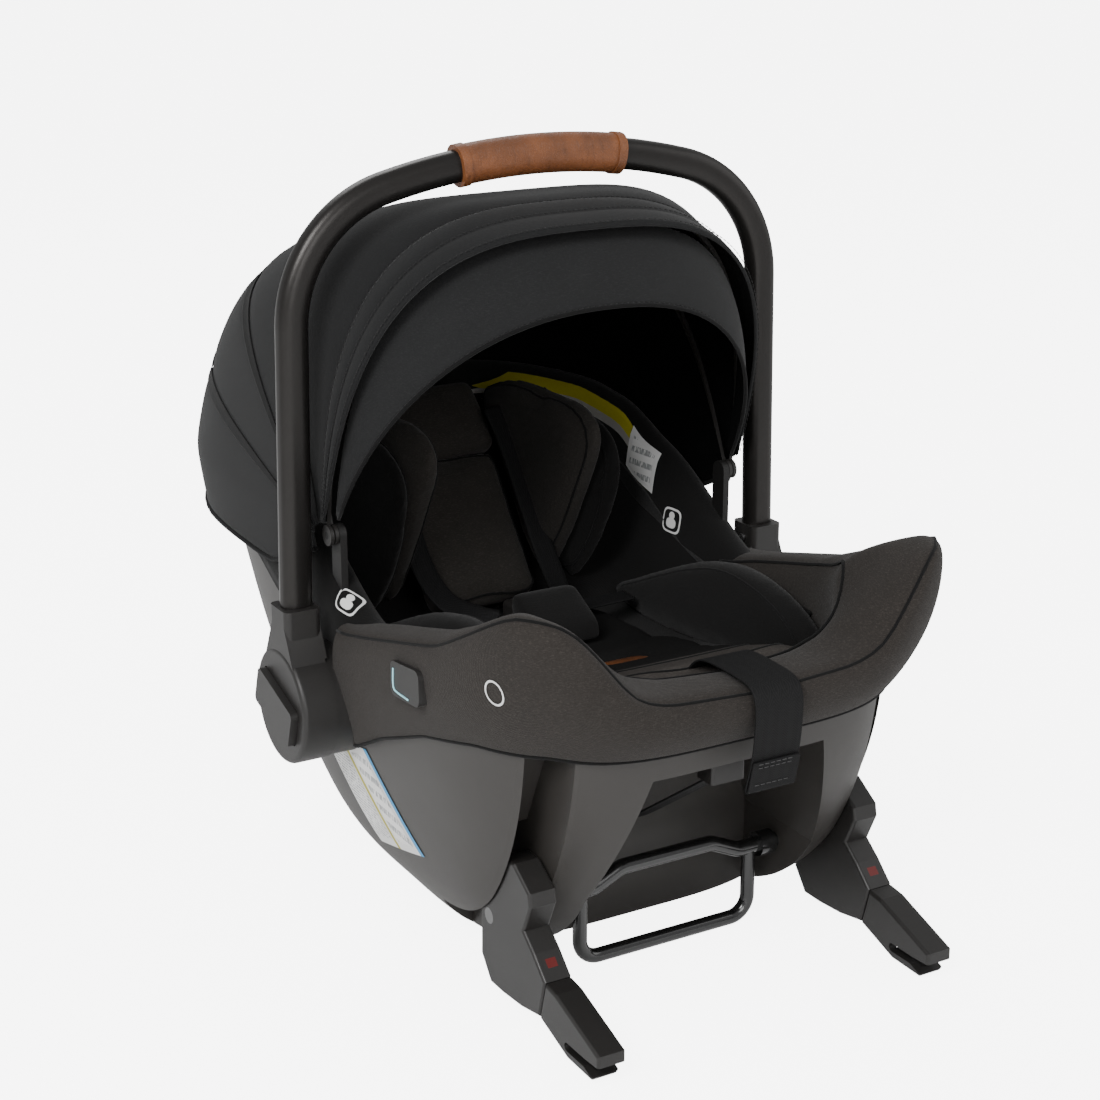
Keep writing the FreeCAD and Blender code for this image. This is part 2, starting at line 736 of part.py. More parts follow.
def latch_connector():
    """Connector housing with the open jaw, on the +X side."""
    tip = -CONNECTOR_REACH
    outline = [
        (-270.4, 45.6), (-284, 44), (tip + 15, 30), (tip, 25), (tip, 15), (tip + 10, 2.5), (-300, 3), (-262.4, 15.6),
    ]
    half = ARM_THICK / 2
    centre = CONNECTOR_SPREAD / 2
    body = prism_x(outline, centre - half, centre + half)
    body = rounded(body, 2.5, lambda e: not along(e, Vector(1, 0, 0)))
    side = HOOK_THICK / 2 + HOOK_SIDE_GAP
    throat = box(centre - side, centre + side, tip + 14, HOOK_PIVOT_Y + 6, 5.5, 29)
    return cut(body, throat, hook_pin(), *jaw_space())


def hook_pin():
    centre = CONNECTOR_SPREAD / 2
    return disc(centre - 9.5, centre + 9.5, HOOK_PIVOT_Y, HOOK_PIVOT_Z, HOOK_PIN_RADIUS)


def latch_hook():
    """Hook that drops across the jaw behind the anchor bar, on the +X side."""
    centre = CONNECTOR_SPREAD / 2
    outline = [(-286, 27.6), (-286, 19.4), (-294, 16.8), (-318, 16.8), (-326, 19), (-326, 23), (-310, 27.6)]
    hook = prism_x(outline, centre - HOOK_THICK / 2, centre + HOOK_THICK / 2)
    bore = disc(0, centre + 20, HOOK_PIVOT_Y, HOOK_PIVOT_Z, HOOK_PIN_RADIUS + RUNNING_GAP)
    return cut(hook, bore)


def latch_indicator():
    """Red flag in the top of the elbow, on the +X side."""
    centre = CONNECTOR_SPREAD / 2
    return box(centre - 4, centre + 4, -263, -258, 40, 80)


def rod(points, radius, bend):
    """Round rod through the points, with tangent arcs at its corners."""
    edges = []
    start = points[0]
    for index in range(1, len(points) - 1):
        corner = points[index]
        before = (corner - points[index - 1])
        after = (points[index + 1] - corner)
        before.normalize()
        after.normalize()
        turn = before.getAngle(after)
        trim = bend * math.tan(turn / 2)
        first = corner - before * trim
        last = corner + after * trim
        to_centre = (after - before)
        to_centre.normalize()
        depth = bend / math.cos(turn / 2) - bend
        middle = corner + to_centre * depth
        edges.append(Part.LineSegment(start, first).toShape())
        edges.append(Part.Arc(first, middle, last).toShape())
        start = last
    edges.append(Part.LineSegment(start, points[-1]).toShape())
    path = Part.Wire(edges)
    direction = points[1] - points[0]
    circle = Part.Wire([Part.Circle(points[0], direction, radius).toShape()])
    return path.makePipeShell([circle], True, False)


def cross_tube():
    """Wavy tube between the two arms, with a collar at each leg wall."""
    y = FRAME_PIVOT_Y
    z = FRAME_PIVOT_Z
    end = CONNECTOR_SPREAD / 2 + ARM_THICK / 2
    half = [vec(end, y, z), vec(64, y, z), vec(40, y, z + 11)]
    points = half + [vec(-p.x, p.y, p.z) for p in reversed(half)]
    tube = rod(points, TUBE_RADIUS, 16.0)
    collar = disc(82, CAVITY_HALF_LOW - SHELL_WALL - 1, y, z, 9.5)
    return fuse([tube, collar, mirrored(collar)])


def base_hoop(tube):
    y = FRAME_PIVOT_Y
    low = HOOP_RADIUS
    points = [vec(HOOP_HALF, y, FRAME_PIVOT_Z), vec(HOOP_HALF, y, low), vec(-HOOP_HALF, y, low),
              vec(-HOOP_HALF, y, FRAME_PIVOT_Z)]
    hoop = rod(points, HOOP_RADIUS, 16.0)
    return cut(hoop, tube)


# ---------------------------------------------------------------- side buttons and small parts

SIDE_BUTTON_Y = -155.0
SIDE_BUTTON_Z = 238.0


def side_button_form(grow, x0, x1):
    """Rounded trapezoid, wider at its rear end."""
    outline = [
        (SIDE_BUTTON_Y - 22 - grow, SIDE_BUTTON_Z - 12 - grow),
        (SIDE_BUTTON_Y + 22 + grow, SIDE_BUTTON_Z - 16 - grow),
        (SIDE_BUTTON_Y + 22 + grow, SIDE_BUTTON_Z + 10 + grow),
        (SIDE_BUTTON_Y - 22 - grow, SIDE_BUTTON_Z + 15 + grow),
    ]
    return rounded(prism_x(outline, x0, x1), 6 + grow, lambda e: along(e, Vector(1, 0, 0)))


def button_pockets():
    face = SHELL_HALF_WIDTH + 16
    pocket = side_button_form(BUTTON_GAP, face - 4 - BUTTON_TRAVEL - 1, face + 5)
    return fuse([pocket, mirrored(pocket)])


def side_button():
    face = SHELL_HALF_WIDTH + 16
    return side_button_form(0, face - 4, face + 3)


def export(name, shape):
    shift = (CONNECTOR_REACH - TAIL_REACH) / 2
    moved = shape.copy()
    moved.translate(vec(0, shift, 0))
    moved.exportStep("parts/" + name + ".step")
    solids = moved.Solids
    box_ = moved.optimalBoundingBox()
    print("%-22s solids %d valid %s vol %.0f  x %.0f..%.0f y %.0f..%.0f z %.0f..%.0f" % (
        name, len(solids), moved.isValid(), moved.Volume, box_.XMin, box_.XMax, box_.YMin, box_.YMax,
        box_.ZMin, box_.ZMax))


SIDES = ("right", "left")


def export_pair(name, right):
    export(name + "_right", right)
    export(name + "_left", mirrored(right))


def pair(right):
    return Part.makeCompound([right, mirrored(right)])


def export_shell():
    outer = shell_block()
    shell = lower_shell(outer)
    mounts = [cut(canopy_mount(), shell), cut(mirrored(canopy_mount()), shell)]
    pad = seat_pad()
    housing = adjuster_housing(pad)
    foam = cut(foam_liner(), housing, adjuster_button(BUTTON_GAP, SMALL_TRAVEL + 0.8), *mounts)
    cover = cut(front_cover(outer), *mounts)
    export("lower_shell", shell)
    export("foam_liner", foam)
    export("front_cover", cover)
    export("rear_cover", cut(rear_cover(outer), *mounts))
    for side, mount, base in zip(SIDES, mounts, (hub_base(), mirrored(hub_base()))):
        export("canopy_mount_" + side, mount)
        export("hub_base_" + side, cut(base, outer, cover))
    export("hub_pins", pair(hub_pin()))
    export("seat_pad", pad)
    export("adjuster_housing", housing)
    export("adjuster_button", adjuster_button())
    export("release_bracket", release_bracket(CAVITY_TOP))
    export("release_strap", release_strap(CAVITY_TOP))
    export_pair("release_button", side_button())


def export_seat():
    tongues = [tongue(), mirrored(tongue())]
    export("torso_pad", torso_pad())
    export("head_pad", cut(head_pad(), torso_pad()))
    export_pair("head_wing", head_wing())
    export_pair("thigh_pad", thigh_pad())
    export("crotch_pad", crotch_pad())
    export_pair("shoulder_strap", shoulder_strap())
    export_pair("lap_strap", lap_strap())
    export_pair("harness_tongue", tongues[0])
    export("buckle_body", buckle_body(tongues))
    export("buckle_button", buckle_button())
    export("leather_tab", leather_tab())
    export("pull_strap", pull_strap())


def export_handle():
    tube = handle_tube()
    band = crown_sleeve(GRIP_HALF - BAND_LENGTH, GRIP_HALF, BAND_WALL, tube)
    export("handle_tube", cut(tube, handle_tube(TUBE_WALL)))
    export("handle_grip", crown_sleeve(BAND_LENGTH - GRIP_HALF, GRIP_HALF - BAND_LENGTH, GRIP_WALL, tube))
    export("grip_bands", pair(band))
    export_pair("handle_arm", handle_arm(tube))
    export_pair("hub_button", hub_button())
    export_pair("hub_spring", hub_spring())
    export("collar_screws", Part.makeCompound(arm_screws()))


def export_canopy():
    export("canopy_front_panel", canopy_front_panel())
    export("canopy_mid_panel", canopy_mid_panel())
    export("canopy_rear_panel", canopy_rear_panel())
    export("canopy_hem", canopy_hem(shell_block()))
    export("canopy_front_bow", canopy_front_bow())
    export("canopy_mid_bow", canopy_mid_bow())
    export("canopy_visor", canopy_visor())


def export_connectors():
    arm = latch_arm()
    flag = latch_indicator().common(arm)
    tube = cross_tube()
    export_pair("latch_arm", cut(arm, flag))
    export("latch_indicators", pair(flag))
    export_pair("latch_connector", latch_connector())
    export_pair("latch_hook", latch_hook())
    export("hook_pins", pair(hook_pin()))
    export("cross_tube", tube)
    export("base_hoop", base_hoop(tube))


def main():
    export_shell()
    export_seat()
    export_handle()
    export_canopy()
    export_connectors()


main()
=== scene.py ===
import json
import math

import bmesh
import bpy
from bpy.props import FloatProperty, FloatVectorProperty, PointerProperty
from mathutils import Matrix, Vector
from mathutils.bvhtree import BVHTree


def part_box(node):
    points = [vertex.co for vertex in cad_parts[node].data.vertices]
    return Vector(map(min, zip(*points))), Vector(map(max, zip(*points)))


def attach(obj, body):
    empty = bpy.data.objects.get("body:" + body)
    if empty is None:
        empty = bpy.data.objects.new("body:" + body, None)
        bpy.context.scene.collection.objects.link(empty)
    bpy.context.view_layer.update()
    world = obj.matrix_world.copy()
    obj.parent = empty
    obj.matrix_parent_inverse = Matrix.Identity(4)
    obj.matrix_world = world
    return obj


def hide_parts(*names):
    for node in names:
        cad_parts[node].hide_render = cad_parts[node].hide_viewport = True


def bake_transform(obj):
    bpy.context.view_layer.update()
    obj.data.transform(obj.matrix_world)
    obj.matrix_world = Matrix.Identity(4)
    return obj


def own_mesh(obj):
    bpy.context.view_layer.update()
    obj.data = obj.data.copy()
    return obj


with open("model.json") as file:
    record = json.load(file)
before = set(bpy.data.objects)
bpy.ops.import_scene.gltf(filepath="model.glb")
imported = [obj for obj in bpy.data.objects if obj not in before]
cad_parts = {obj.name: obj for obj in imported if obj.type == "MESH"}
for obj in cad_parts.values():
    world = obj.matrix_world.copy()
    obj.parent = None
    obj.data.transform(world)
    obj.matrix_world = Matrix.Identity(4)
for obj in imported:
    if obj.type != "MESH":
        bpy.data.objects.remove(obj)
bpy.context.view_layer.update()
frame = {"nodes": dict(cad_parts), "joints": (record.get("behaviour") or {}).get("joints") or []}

bl_info = {
    "name": "Infant Car Seat",
    "version": (1, 0, 0),
    "blender": (4, 5, 0),
    "location": "View3D > Sidebar > Car Seat",
    "description": "Soft goods, finishes and studio for an infant car seat built round its CAD frame",
    "category": "Object",
}

NODES = frame["nodes"]
JOINTS = {joint["name"]: joint for joint in frame["joints"]}
HUB = Vector(JOINTS["handle_tilt"]["pos_m"])
HINGE = Vector(JOINTS["canopy_fold"]["pos_m"])
MM = 0.001

HOOD_FRONT = 97.0  # angle of the hood's front edge from level, in degrees
HOOD_SEAMS = (HOOD_FRONT, 70.0, 42.0, 16.0)
SKIRT_DROPS = (0.046, 0.034, 0.022, 0.010)
VISOR_ANGLES = (103.0, 120.4)
VISOR_TUCK = 11 * MM  # how far the visor starts below the bow
VISOR_EDGE_RISE = 173 * MM
COVER_STEPS = 84
BUCKET_HALF = 0.166
RIM_ROUNDING = 0.014
PRINT_RINGS = 5
PRINT_STEPS = 28


# ------------------------------------------------------------------ settings

class CanopySettings(bpy.types.PropertyGroup):
    cloth: FloatProperty(name="Cloth", description="Thickness of the canopy cloth", default=0.0016, unit="LENGTH")
    seam_dip: FloatProperty(name="Seam dip", description="How far the hood is pulled in along its bows",
                            default=0.005, unit="LENGTH")
    piping: FloatProperty(name="Piping", description="Radius of the piping cords", default=0.0016, unit="LENGTH")
    colour: FloatVectorProperty(name="Colour", description="Canopy cloth", subtype="COLOR",
                                default=(0.0125, 0.0127, 0.0130))


class CoverSettings(bpy.types.PropertyGroup):
    colour: FloatVectorProperty(name="Colour", description="Heathered outer cloth", subtype="COLOR",
                                default=(0.0255, 0.0222, 0.0198))
    lip_colour: FloatVectorProperty(name="Lip colour", description="Cloth of the front lip", subtype="COLOR",
                                    default=(0.0270, 0.0242, 0.0222))
    lining_colour: FloatVectorProperty(name="Lining colour", description="Black jersey lining", subtype="COLOR",
                                       default=(0.0066, 0.0064, 0.0063))
    insert_colour: FloatVectorProperty(name="Insert colour", description="Cloth of the padded insert",
                                       subtype="COLOR", default=(0.0262, 0.0236, 0.0212))


class HandleSettings(bpy.types.PropertyGroup):
    colour: FloatVectorProperty(name="Tube colour", description="Bronze-black tube", subtype="COLOR",
                                default=(0.0230, 0.0212, 0.0200))
    leather: FloatVectorProperty(name="Leather", description="Tan leather of the grip", subtype="COLOR",
                                 default=(0.150, 0.050, 0.015))


class ShellSettings(bpy.types.PropertyGroup):
    colour: FloatVectorProperty(name="Shell colour", description="Satin plastic of the shell", subtype="COLOR",
                                default=(0.0270, 0.0245, 0.0222))
    dark: FloatVectorProperty(name="Dark plastic", description="Plastic of hubs and connectors", subtype="COLOR",
                              default=(0.0125, 0.0115, 0.0108))


# ------------------------------------------------------------------ shader building

class Tap:
    """A socket that can be used in an expression."""

    def __init__(self, look, socket):
        self.look = look
        self.socket = socket

    def maths(self, operation, first, second=None):
        inputs = {0: first} if second is None else {0: first, 1: second}
        return self.look.node("ShaderNodeMath", {"operation": operation}, inputs)

    def __add__(self, other):
        return self.maths("ADD", self, other)

    def __radd__(self, other):
        return self.maths("ADD", other, self)

    def __sub__(self, other):
        return self.maths("SUBTRACT", self, other)

    def __rsub__(self, other):
        return self.maths("SUBTRACT", other, self)

    def __mul__(self, other):
        return self.maths("MULTIPLY", self, other)

    def __rmul__(self, other):
        return self.maths("MULTIPLY", other, self)

    def sine(self):
        return self.maths("SINE", self)

    def smooth(self, low, high):
        """0 below low, 1 above high."""
        settings = {"interpolation_type": "SMOOTHSTEP"}
        return self.look.node("ShaderNodeMapRange", settings, {0: self, 1: low, 2: high})


class Look:
    """A material made from expressions."""

    def __init__(self, name):
        self.material = bpy.data.materials.new(name)
        self.material.use_nodes = True
        self.tree = self.material.node_tree
        self.shader = self.tree.nodes["Principled BSDF"]

    def node(self, kind, settings=None, inputs=None, output=0):
        node = self.tree.nodes.new(kind)
        for key, value in (settings or {}).items():
            setattr(node, key, value)
        for key, value in (inputs or {}).items():
            self.feed(node.inputs[key], value)
        return Tap(self, node.outputs[output])

    def feed(self, socket, value):
        if isinstance(value, Tap):
            self.tree.links.new(value.socket, socket)
        elif hasattr(value, "__len__") and len(value) == 3 and socket.type == "RGBA":
            socket.default_value = tuple(value) + (1.0,)
        else:
            socket.default_value = value

    def set(self, **sockets):
        names = {key.replace("_", " ").title().replace("Ior", "IOR"): value for key, value in sockets.items()}
        for key, value in names.items():
            self.feed(self.shader.inputs[key], value)
        return self

    def place(self):
        """Position on the piece, in metres."""
        return self.node("ShaderNodeTexCoord", output="Object")

    def axis(self, vector, index):
        return self.node("ShaderNodeSeparateXYZ", inputs={0: vector}, output=index)

    def noise(self, vector, scale, detail=2.0, rough=0.5):
        return self.node("ShaderNodeTexNoise", inputs={"Vector": vector, "Scale": scale, "Detail": detail,
                                                       "Roughness": rough})

    def stretched(self, vector, scale, turn=(0, 0, 0)):
        return self.node("ShaderNodeMapping", inputs={"Vector": vector, "Scale": scale, "Rotation": turn})

    def blend(self, factor, first, second):
        return self.node("ShaderNodeMix", {"data_type": "RGBA"}, {0: factor, 6: first, 7: second}, output=2)

    def bump(self, height, strength, distance):
        normal = self.node("ShaderNodeBump", inputs={"Height": height, "Strength": strength, "Distance": distance})
        self.feed(self.shader.inputs["Normal"], normal)
        return self


def tint(colour, gain):
    return tuple(channel * gain for channel in colour)


def woven(name, colour, pitch, heather=0.35, streak=0.5, rough=0.88, sheen=0.06, relief=0.45):
    """Yarn-dyed cloth: crossing threads, diagonal flecks of lighter yarn and a dull nap."""
    look = Look(name)
    place = look.place()
    x, y, z = (look.axis(place, index) for index in range(3))
    turns = 2 * math.pi / pitch
    warp = ((x * 0.9 + y * 0.5 + z) * turns).sine()
    weft = ((x * 0.9 + y * 0.8 - z * 0.8) * turns).sine()
    threads = (warp * weft) * 0.5 + 0.5
    flecks = look.noise(look.stretched(place, (380, 520, 1500), (0.75, 0.55, 0.2)), 1.0, 3.0, 0.7)
    cross = look.noise(look.stretched(place, (1100, 700, 300), (-0.6, 0.4, 0.5)), 1.0, 2.0, 0.6)
    mottle = look.noise(place, 42.0, 2.0)
    tone = look.blend(threads * 0.14 + mottle * 0.45, tint(colour, 0.74), tint(colour, 1.22))
    tone = look.blend(flecks.smooth(0.48, 0.74) * heather, tone, tint(colour, 2.6))
    tone = look.blend(cross.smooth(0.50, 0.72) * (heather * streak), tone, tint(colour, 0.35))
    look.set(base_color=tone, roughness=mottle * 0.08 + (rough - 0.04), sheen_weight=sheen, sheen_roughness=0.5,
             specular_ior_level=0.10)
    return look.bump(threads * 0.35 + flecks * 0.9 + cross * 0.4, relief, pitch * 0.4).material


def cushion_look(name, front_colour, back_colour):
    """Cloth whose front end is heathered and whose rear is plain dark jersey. The front end's colour is raised above
    the lip cloth's colour: painted light, making up for the shade on the front roll.
    """
    look = Look(name)
    place = look.place()
    flecks = look.noise(look.stretched(place, (380, 520, 1500), (0.75, 0.55, 0.2)), 1.0, 3.0, 0.7)
    weave = ((look.axis(place, 0) + look.axis(place, 1)) * 4400.0).sine() * 0.5 + 0.5
    # Painted light: the front roll's heathered cloth is raised to 1.4 to 3.0 times the lip cloth's colour, making up
    # for the shade it sits in.
    front = look.blend(flecks.smooth(0.45, 0.72) * 0.45, tint(front_colour, 1.4), tint(front_colour, 3.0))
    tone = look.blend(look.axis(place, 1).smooth(-0.192, -0.190), front, back_colour)
    look.set(base_color=tone, roughness=flecks * 0.08 + 0.84, specular_ior_level=0.10)
    return look.bump(flecks + weave * 0.5, 0.4, 0.0006).material


def webbing_look(name, colour):
    """Herringbone webbing, its rows running across the strap."""
    look = Look(name)
    place = look.place()
    across = look.axis(place, 0)
    along = look.axis(place, 2) - look.axis(place, 1)
    chevron = look.node("ShaderNodeMath", {"operation": "PINGPONG"}, {0: across, 1: 0.0042})
    rib = ((along + chevron * 1.1) * (2 * math.pi / 0.0021)).sine() * 0.5 + 0.5
    grain = look.noise(look.place(), 900.0, 2.0)
    tone = look.blend(rib * 0.6 + grain * 0.3, tint(colour, 0.6), tint(colour, 1.7))
    look.set(base_color=tone, roughness=0.74, specular_ior_level=0.16)
    return look.bump(rib + grain * 0.4, 0.4, 0.0003).material


def moulded(name, colour, rough, grain):
    """Fine-textured moulded plastic with faint handling marks."""
    look = Look(name)
    place = look.place()
    texture = look.noise(place, 1400.0, 2.0, 0.6)
    smear = look.noise(look.stretched(place, (14, 9, 20)), 1.0, 3.0)
    tone = look.blend(smear * 0.5 + texture * 0.2, tint(colour, 0.88), tint(colour, 1.14))
    look.set(base_color=tone, roughness=smear * 0.12 + texture * 0.06 + (rough - 0.08), specular_ior_level=0.42)
    return look.bump(texture, grain, 0.00025).material


def leather_look(name, colour):
    """Tan leather: pebbled grain, creases and darker worn patches."""
    look = Look(name)
    place = look.place()
    cells = look.node("ShaderNodeTexVoronoi", {"feature": "DISTANCE_TO_EDGE"}, {"Vector": place, "Scale": 520.0})
    creases = look.noise(look.stretched(place, (210, 60, 60)), 1.0, 4.0, 0.55)
    patches = look.noise(place, 38.0, 3.0)
    tone = look.blend(patches.smooth(0.3, 0.7), tint(colour, 0.72), tint(colour, 1.22))
    tone = look.blend((1 - creases.smooth(0.30, 0.46)) * 0.5, tone, tint(colour, 0.45))
    look.set(base_color=tone, roughness=patches * 0.16 + 0.36, specular_ior_level=0.42, coat_weight=0.08,
             coat_roughness=0.4)
    return look.bump(cells.smooth(0.0, 0.12) * 0.5 + creases, 0.55, 0.0007).material


def metal_look(name, colour, rough, metallic=0.85, coat=0.0):
    """Brushed or coated metal with fine streaks."""
    look = Look(name)
    place = look.place()
    streaks = look.noise(look.stretched(place, (30, 900, 900)), 1.0, 2.0)
    cloud = look.noise(place, 24.0, 2.0)
    tone = look.blend(cloud * 0.6, tint(colour, 0.85), tint(colour, 1.2))
    look.set(base_color=tone, metallic=metallic, roughness=streaks * 0.08 + cloud * 0.06 + (rough - 0.06),
             coat_weight=coat, coat_roughness=0.18)
    return look.bump(streaks, 0.05, 0.0002).material


def foam_look(name):
    """Expanded bead foam."""
    look = Look(name)
    beads = look.node("ShaderNodeTexVoronoi", {"feature": "DISTANCE_TO_EDGE"},
                      {"Vector": look.place(), "Scale": 260.0})
    tone = look.blend(beads.smooth(0.0, 0.15), (0.012, 0.012, 0.012), (0.022, 0.022, 0.022))
    look.set(base_color=tone, roughness=0.8)
    return look.bump(beads, 0.4, 0.0008).material


def print_look(name, colour, rough=0.55):
    """Printed or woven mark with a faint thread texture."""
    look = Look(name)
    grain = look.noise(look.place(), 1500.0, 1.0)
    look.set(base_color=look.blend(grain * 0.4, tint(colour, 0.86), tint(colour, 1.06)), roughness=rough)
    return look.bump(grain, 0.15, 0.0001).material


def rows_look(name, pitch):
    """Grey printed rows that stand in for a label's small print."""
    look = Look(name)
    place = look.place()
    rows = (look.axis(place, 2) * (2 * math.pi / pitch)).sine()
    breaks = look.noise(look.stretched(place, (700, 700, 60)), 1.0, 1.0)
    ink = rows.smooth(-0.1, 0.3) * breaks.smooth(0.42, 0.5)
    look.set(base_color=look.blend(ink * 0.75, (0.74, 0.74, 0.73), (0.16, 0.17, 0.18)), roughness=0.55)
    return look.bump(ink, 0.05, 0.0001).material


LOOKS = {}


def make_looks(scene):
    canopy, cover, handle, shell = scene.seat_canopy, scene.seat_cover, scene.seat_handle, scene.seat_shell
    LOOKS["canopy"] = woven("canopy_cloth", tuple(canopy.colour), 0.0012, heather=0.14, relief=0.3)
    LOOKS["visor"] = woven("visor_cloth", tint(canopy.colour, 1.12), 0.0012, heather=0.20, relief=0.3)
    LOOKS["canopy_inner"] = woven("canopy_lining", tint(canopy.colour, 0.18), 0.0012, heather=0.05, sheen=0.0)
    LOOKS["cover"] = woven("cover_cloth", tuple(cover.colour), 0.0021, heather=0.42, relief=0.6)
    LOOKS["lining"] = woven("lining_jersey", tuple(cover.lining_colour), 0.0013, heather=0.08)
    LOOKS["insert"] = woven("insert_cloth", tuple(cover.insert_colour), 0.0017, heather=0.38)
    LOOKS["seat"] = cushion_look("seat_cushion_cloth", tuple(cover.lip_colour), tuple(cover.lining_colour))
    LOOKS["piping"] = woven("piping_cloth", (0.006, 0.006, 0.006), 0.0008, heather=0.05, sheen=0.05)
    LOOKS["thread"] = woven("thread", (0.02, 0.02, 0.02), 0.0005, heather=0.1, sheen=0.05)
    LOOKS["webbing"] = webbing_look("webbing", (0.0060, 0.0060, 0.0062))
    LOOKS["leather"] = leather_look("tan_leather", tuple(handle.leather))
    LOOKS["tab"] = leather_look("tab_leather", tint(handle.leather, 0.7))
    LOOKS["tube"] = metal_look("bronze_black_tube", tuple(handle.colour), 0.33, 0.70)
    LOOKS["rod"] = metal_look("gloss_black_rod", (0.008, 0.008, 0.008), 0.16, 0.1, 0.8)
    LOOKS["steel"] = metal_look("plated_steel", (0.35, 0.35, 0.35), 0.35, 1.0)
    LOOKS["shell"] = moulded("shell_plastic", tuple(shell.colour), 0.46, 0.20)
    LOOKS["inner_shell"] = moulded("shell_inner", tint(shell.dark, 0.35), 0.6, 0.3)
    LOOKS["dark"] = moulded("dark_plastic", tuple(shell.dark), 0.47, 0.22)
    LOOKS["connector"] = moulded("connector_plastic", tint(shell.dark, 0.95), 0.42, 0.2)
    LOOKS["foam"] = foam_look("bead_foam")
    LOOKS["white"] = print_look("white_print", (0.75, 0.75, 0.74))
    LOOKS["blue"] = print_look("blue_print", (0.05, 0.28, 0.55))
    LOOKS["sky"] = print_look("light_blue_line", (0.35, 0.70, 0.78))
    LOOKS["yellow"] = print_look("yellow_print", (0.42, 0.38, 0.02))
    LOOKS["pale"] = print_look("pale_print", (0.35, 0.34, 0.32))
    LOOKS["pale_thread"] = print_look("pale_thread", (0.035, 0.035, 0.036))
    LOOKS["print_rows"] = rows_look("print_rows", 0.0026)
    LOOKS["print_boxes"] = rows_look("print_boxes", 0.0105)
    LOOKS["red"] = moulded("red_plastic", (0.090, 0.0045, 0.0035), 0.4, 0.1)


# ------------------------------------------------------------------ mesh building

def new_object(name, mesh):
    piece = bpy.data.objects.new(name, mesh)
    bpy.context.scene.collection.objects.link(piece)
    return piece


def smooth(piece, levels=0):
    for polygon in piece.data.polygons:
        polygon.use_smooth = True
    if levels:
        modifier = piece.modifiers.new("rounding", "SUBSURF")
        modifier.levels = levels
        modifier.render_levels = levels
    return piece


def thicken(piece, thickness, offset=-1.0, inner=0):
    modifier = piece.modifiers.new("thickness", "SOLIDIFY")
    modifier.thickness = thickness
    modifier.offset = offset
    modifier.material_offset = inner
    modifier.material_offset_rim = 0
    return piece


def grid(name, rows, look, round_rows=False, round_columns=False, levels=1):
    """A quad surface through rows of points, with a map in metres."""
    count = len(rows)
    width = len(rows[0])
    mesh = bpy.data.meshes.new(name)
    points = [point for row in rows for point in row]
    faces = []
    spans = []
    for i in range(count if round_rows else count - 1):
        for j in range(width if round_columns else width - 1):
            a = i * width + j
            b = i * width + (j + 1) % width
            c = ((i + 1) % count) * width + (j + 1) % width
            d = ((i + 1) % count) * width + j
            faces.append((a, b, c, d))
            spans.append((i, j))
    mesh.from_pydata([tuple(point) for point in points], [], faces)
    middle_row = rows[count // 2]
    middle_column = [row[width // 2] for row in rows]
    across = running_lengths(middle_row, round_columns)
    down = running_lengths(middle_column, round_rows)
    layer = mesh.uv_layers.new(name="UVMap")
    for (i, j), polygon in zip(spans, mesh.polygons):
        corners = ((j, i), (j + 1, i), (j + 1, i + 1), (j, i + 1))
        for loop, (u, v) in zip(polygon.loop_indices, corners):
            layer.data[loop].uv = (across[u], down[v])
    mesh.materials.append(LOOKS[look])
    mesh.validate()
    piece = new_object(name, mesh)
    return smooth(piece, levels)


def running_lengths(points, closed):
    lengths = [0.0]
    loop = list(points) + ([points[0]] if closed else [])
    for first, second in zip(loop, loop[1:]):
        lengths.append(lengths[-1] + (second - first).length)
    return lengths


def cord_mesh(name, points, radius, look, closed=False, sides=8):
    """Round cord through the points, such as piping; part of what it is sewn to."""
    rows = []
    count = len(points)
    normal = None
    for index, point in enumerate(points):
        before = points[index - 1] if index or closed else points[0]
        after = points[(index + 1) % count] if index < count - 1 or closed else points[-1]
        direction = (after - before).normalized()
        if normal is None:
            normal = direction.orthogonal().normalized()
        normal = (normal - direction * normal.dot(direction)).normalized()
        side = direction.cross(normal)
        ring = []
        for step in range(sides):
            angle = 2 * math.pi * step / sides
            ring.append(point + (normal * math.cos(angle) + side * math.sin(angle)) * radius)
        rows.append(ring)
    piece = grid(name, rows, look, round_rows=closed, round_columns=True, levels=0)
    if not closed:
        cap_ends(piece)
    return piece


def cap_ends(piece):
    """Closes every open end of a piece."""
    edit = bmesh.new()
    edit.from_mesh(piece.data)
    edges = [edge for edge in edit.edges if edge.is_boundary]
    bmesh.ops.holes_fill(edit, edges=edges, sides=0)
    edit.to_mesh(piece.data)
    edit.free()


def stitches(name, points, look, length=0.0032, gap=0.0016, radius=0.00035):
    """A row of thread stitches along the points."""
    lengths = running_lengths(points, False)
    edit = bmesh.new()
    place = gap
    while place + length < lengths[-1]:
        first = point_along(points, lengths, place)
        last = point_along(points, lengths, place + length)
        direction = last - first
        turn = direction.to_track_quat("Z", "Y").to_matrix().to_4x4()
        turn.translation = (first + last) / 2
        bmesh.ops.create_cone(edit, cap_ends=True, segments=6, radius1=radius, radius2=radius,
                              depth=direction.length, matrix=turn)
        place += length + gap
    mesh = bpy.data.meshes.new(name)
    edit.to_mesh(mesh)
    edit.free()
    mesh.materials.append(LOOKS[look])
    return smooth(new_object(name, mesh))


def point_along(points, lengths, distance):
    for index in range(len(points) - 1):
        if distance <= lengths[index + 1]:
            share = (distance - lengths[index]) / max(lengths[index + 1] - lengths[index], 1e-9)
            return points[index].lerp(points[index + 1], share)
    return points[-1]


def cut_size(rows):
    """Longest row of a sheet laid over rows of points, and the length that gives its area at that width."""
    area = 0.0
    for row, following in zip(rows, rows[1:]):
        for a, b, c, d in zip(row, row[1:], following[1:], following):
            area += ((b - a).cross(c - a).length + (c - a).cross(d - a).length) / 2
    width = max(running_lengths(row, False)[-1] for row in rows)
    return (round(width, 4), round(area / width, 4))


def signed_power(value, exponent):
    return math.copysign(abs(value) ** exponent, value)


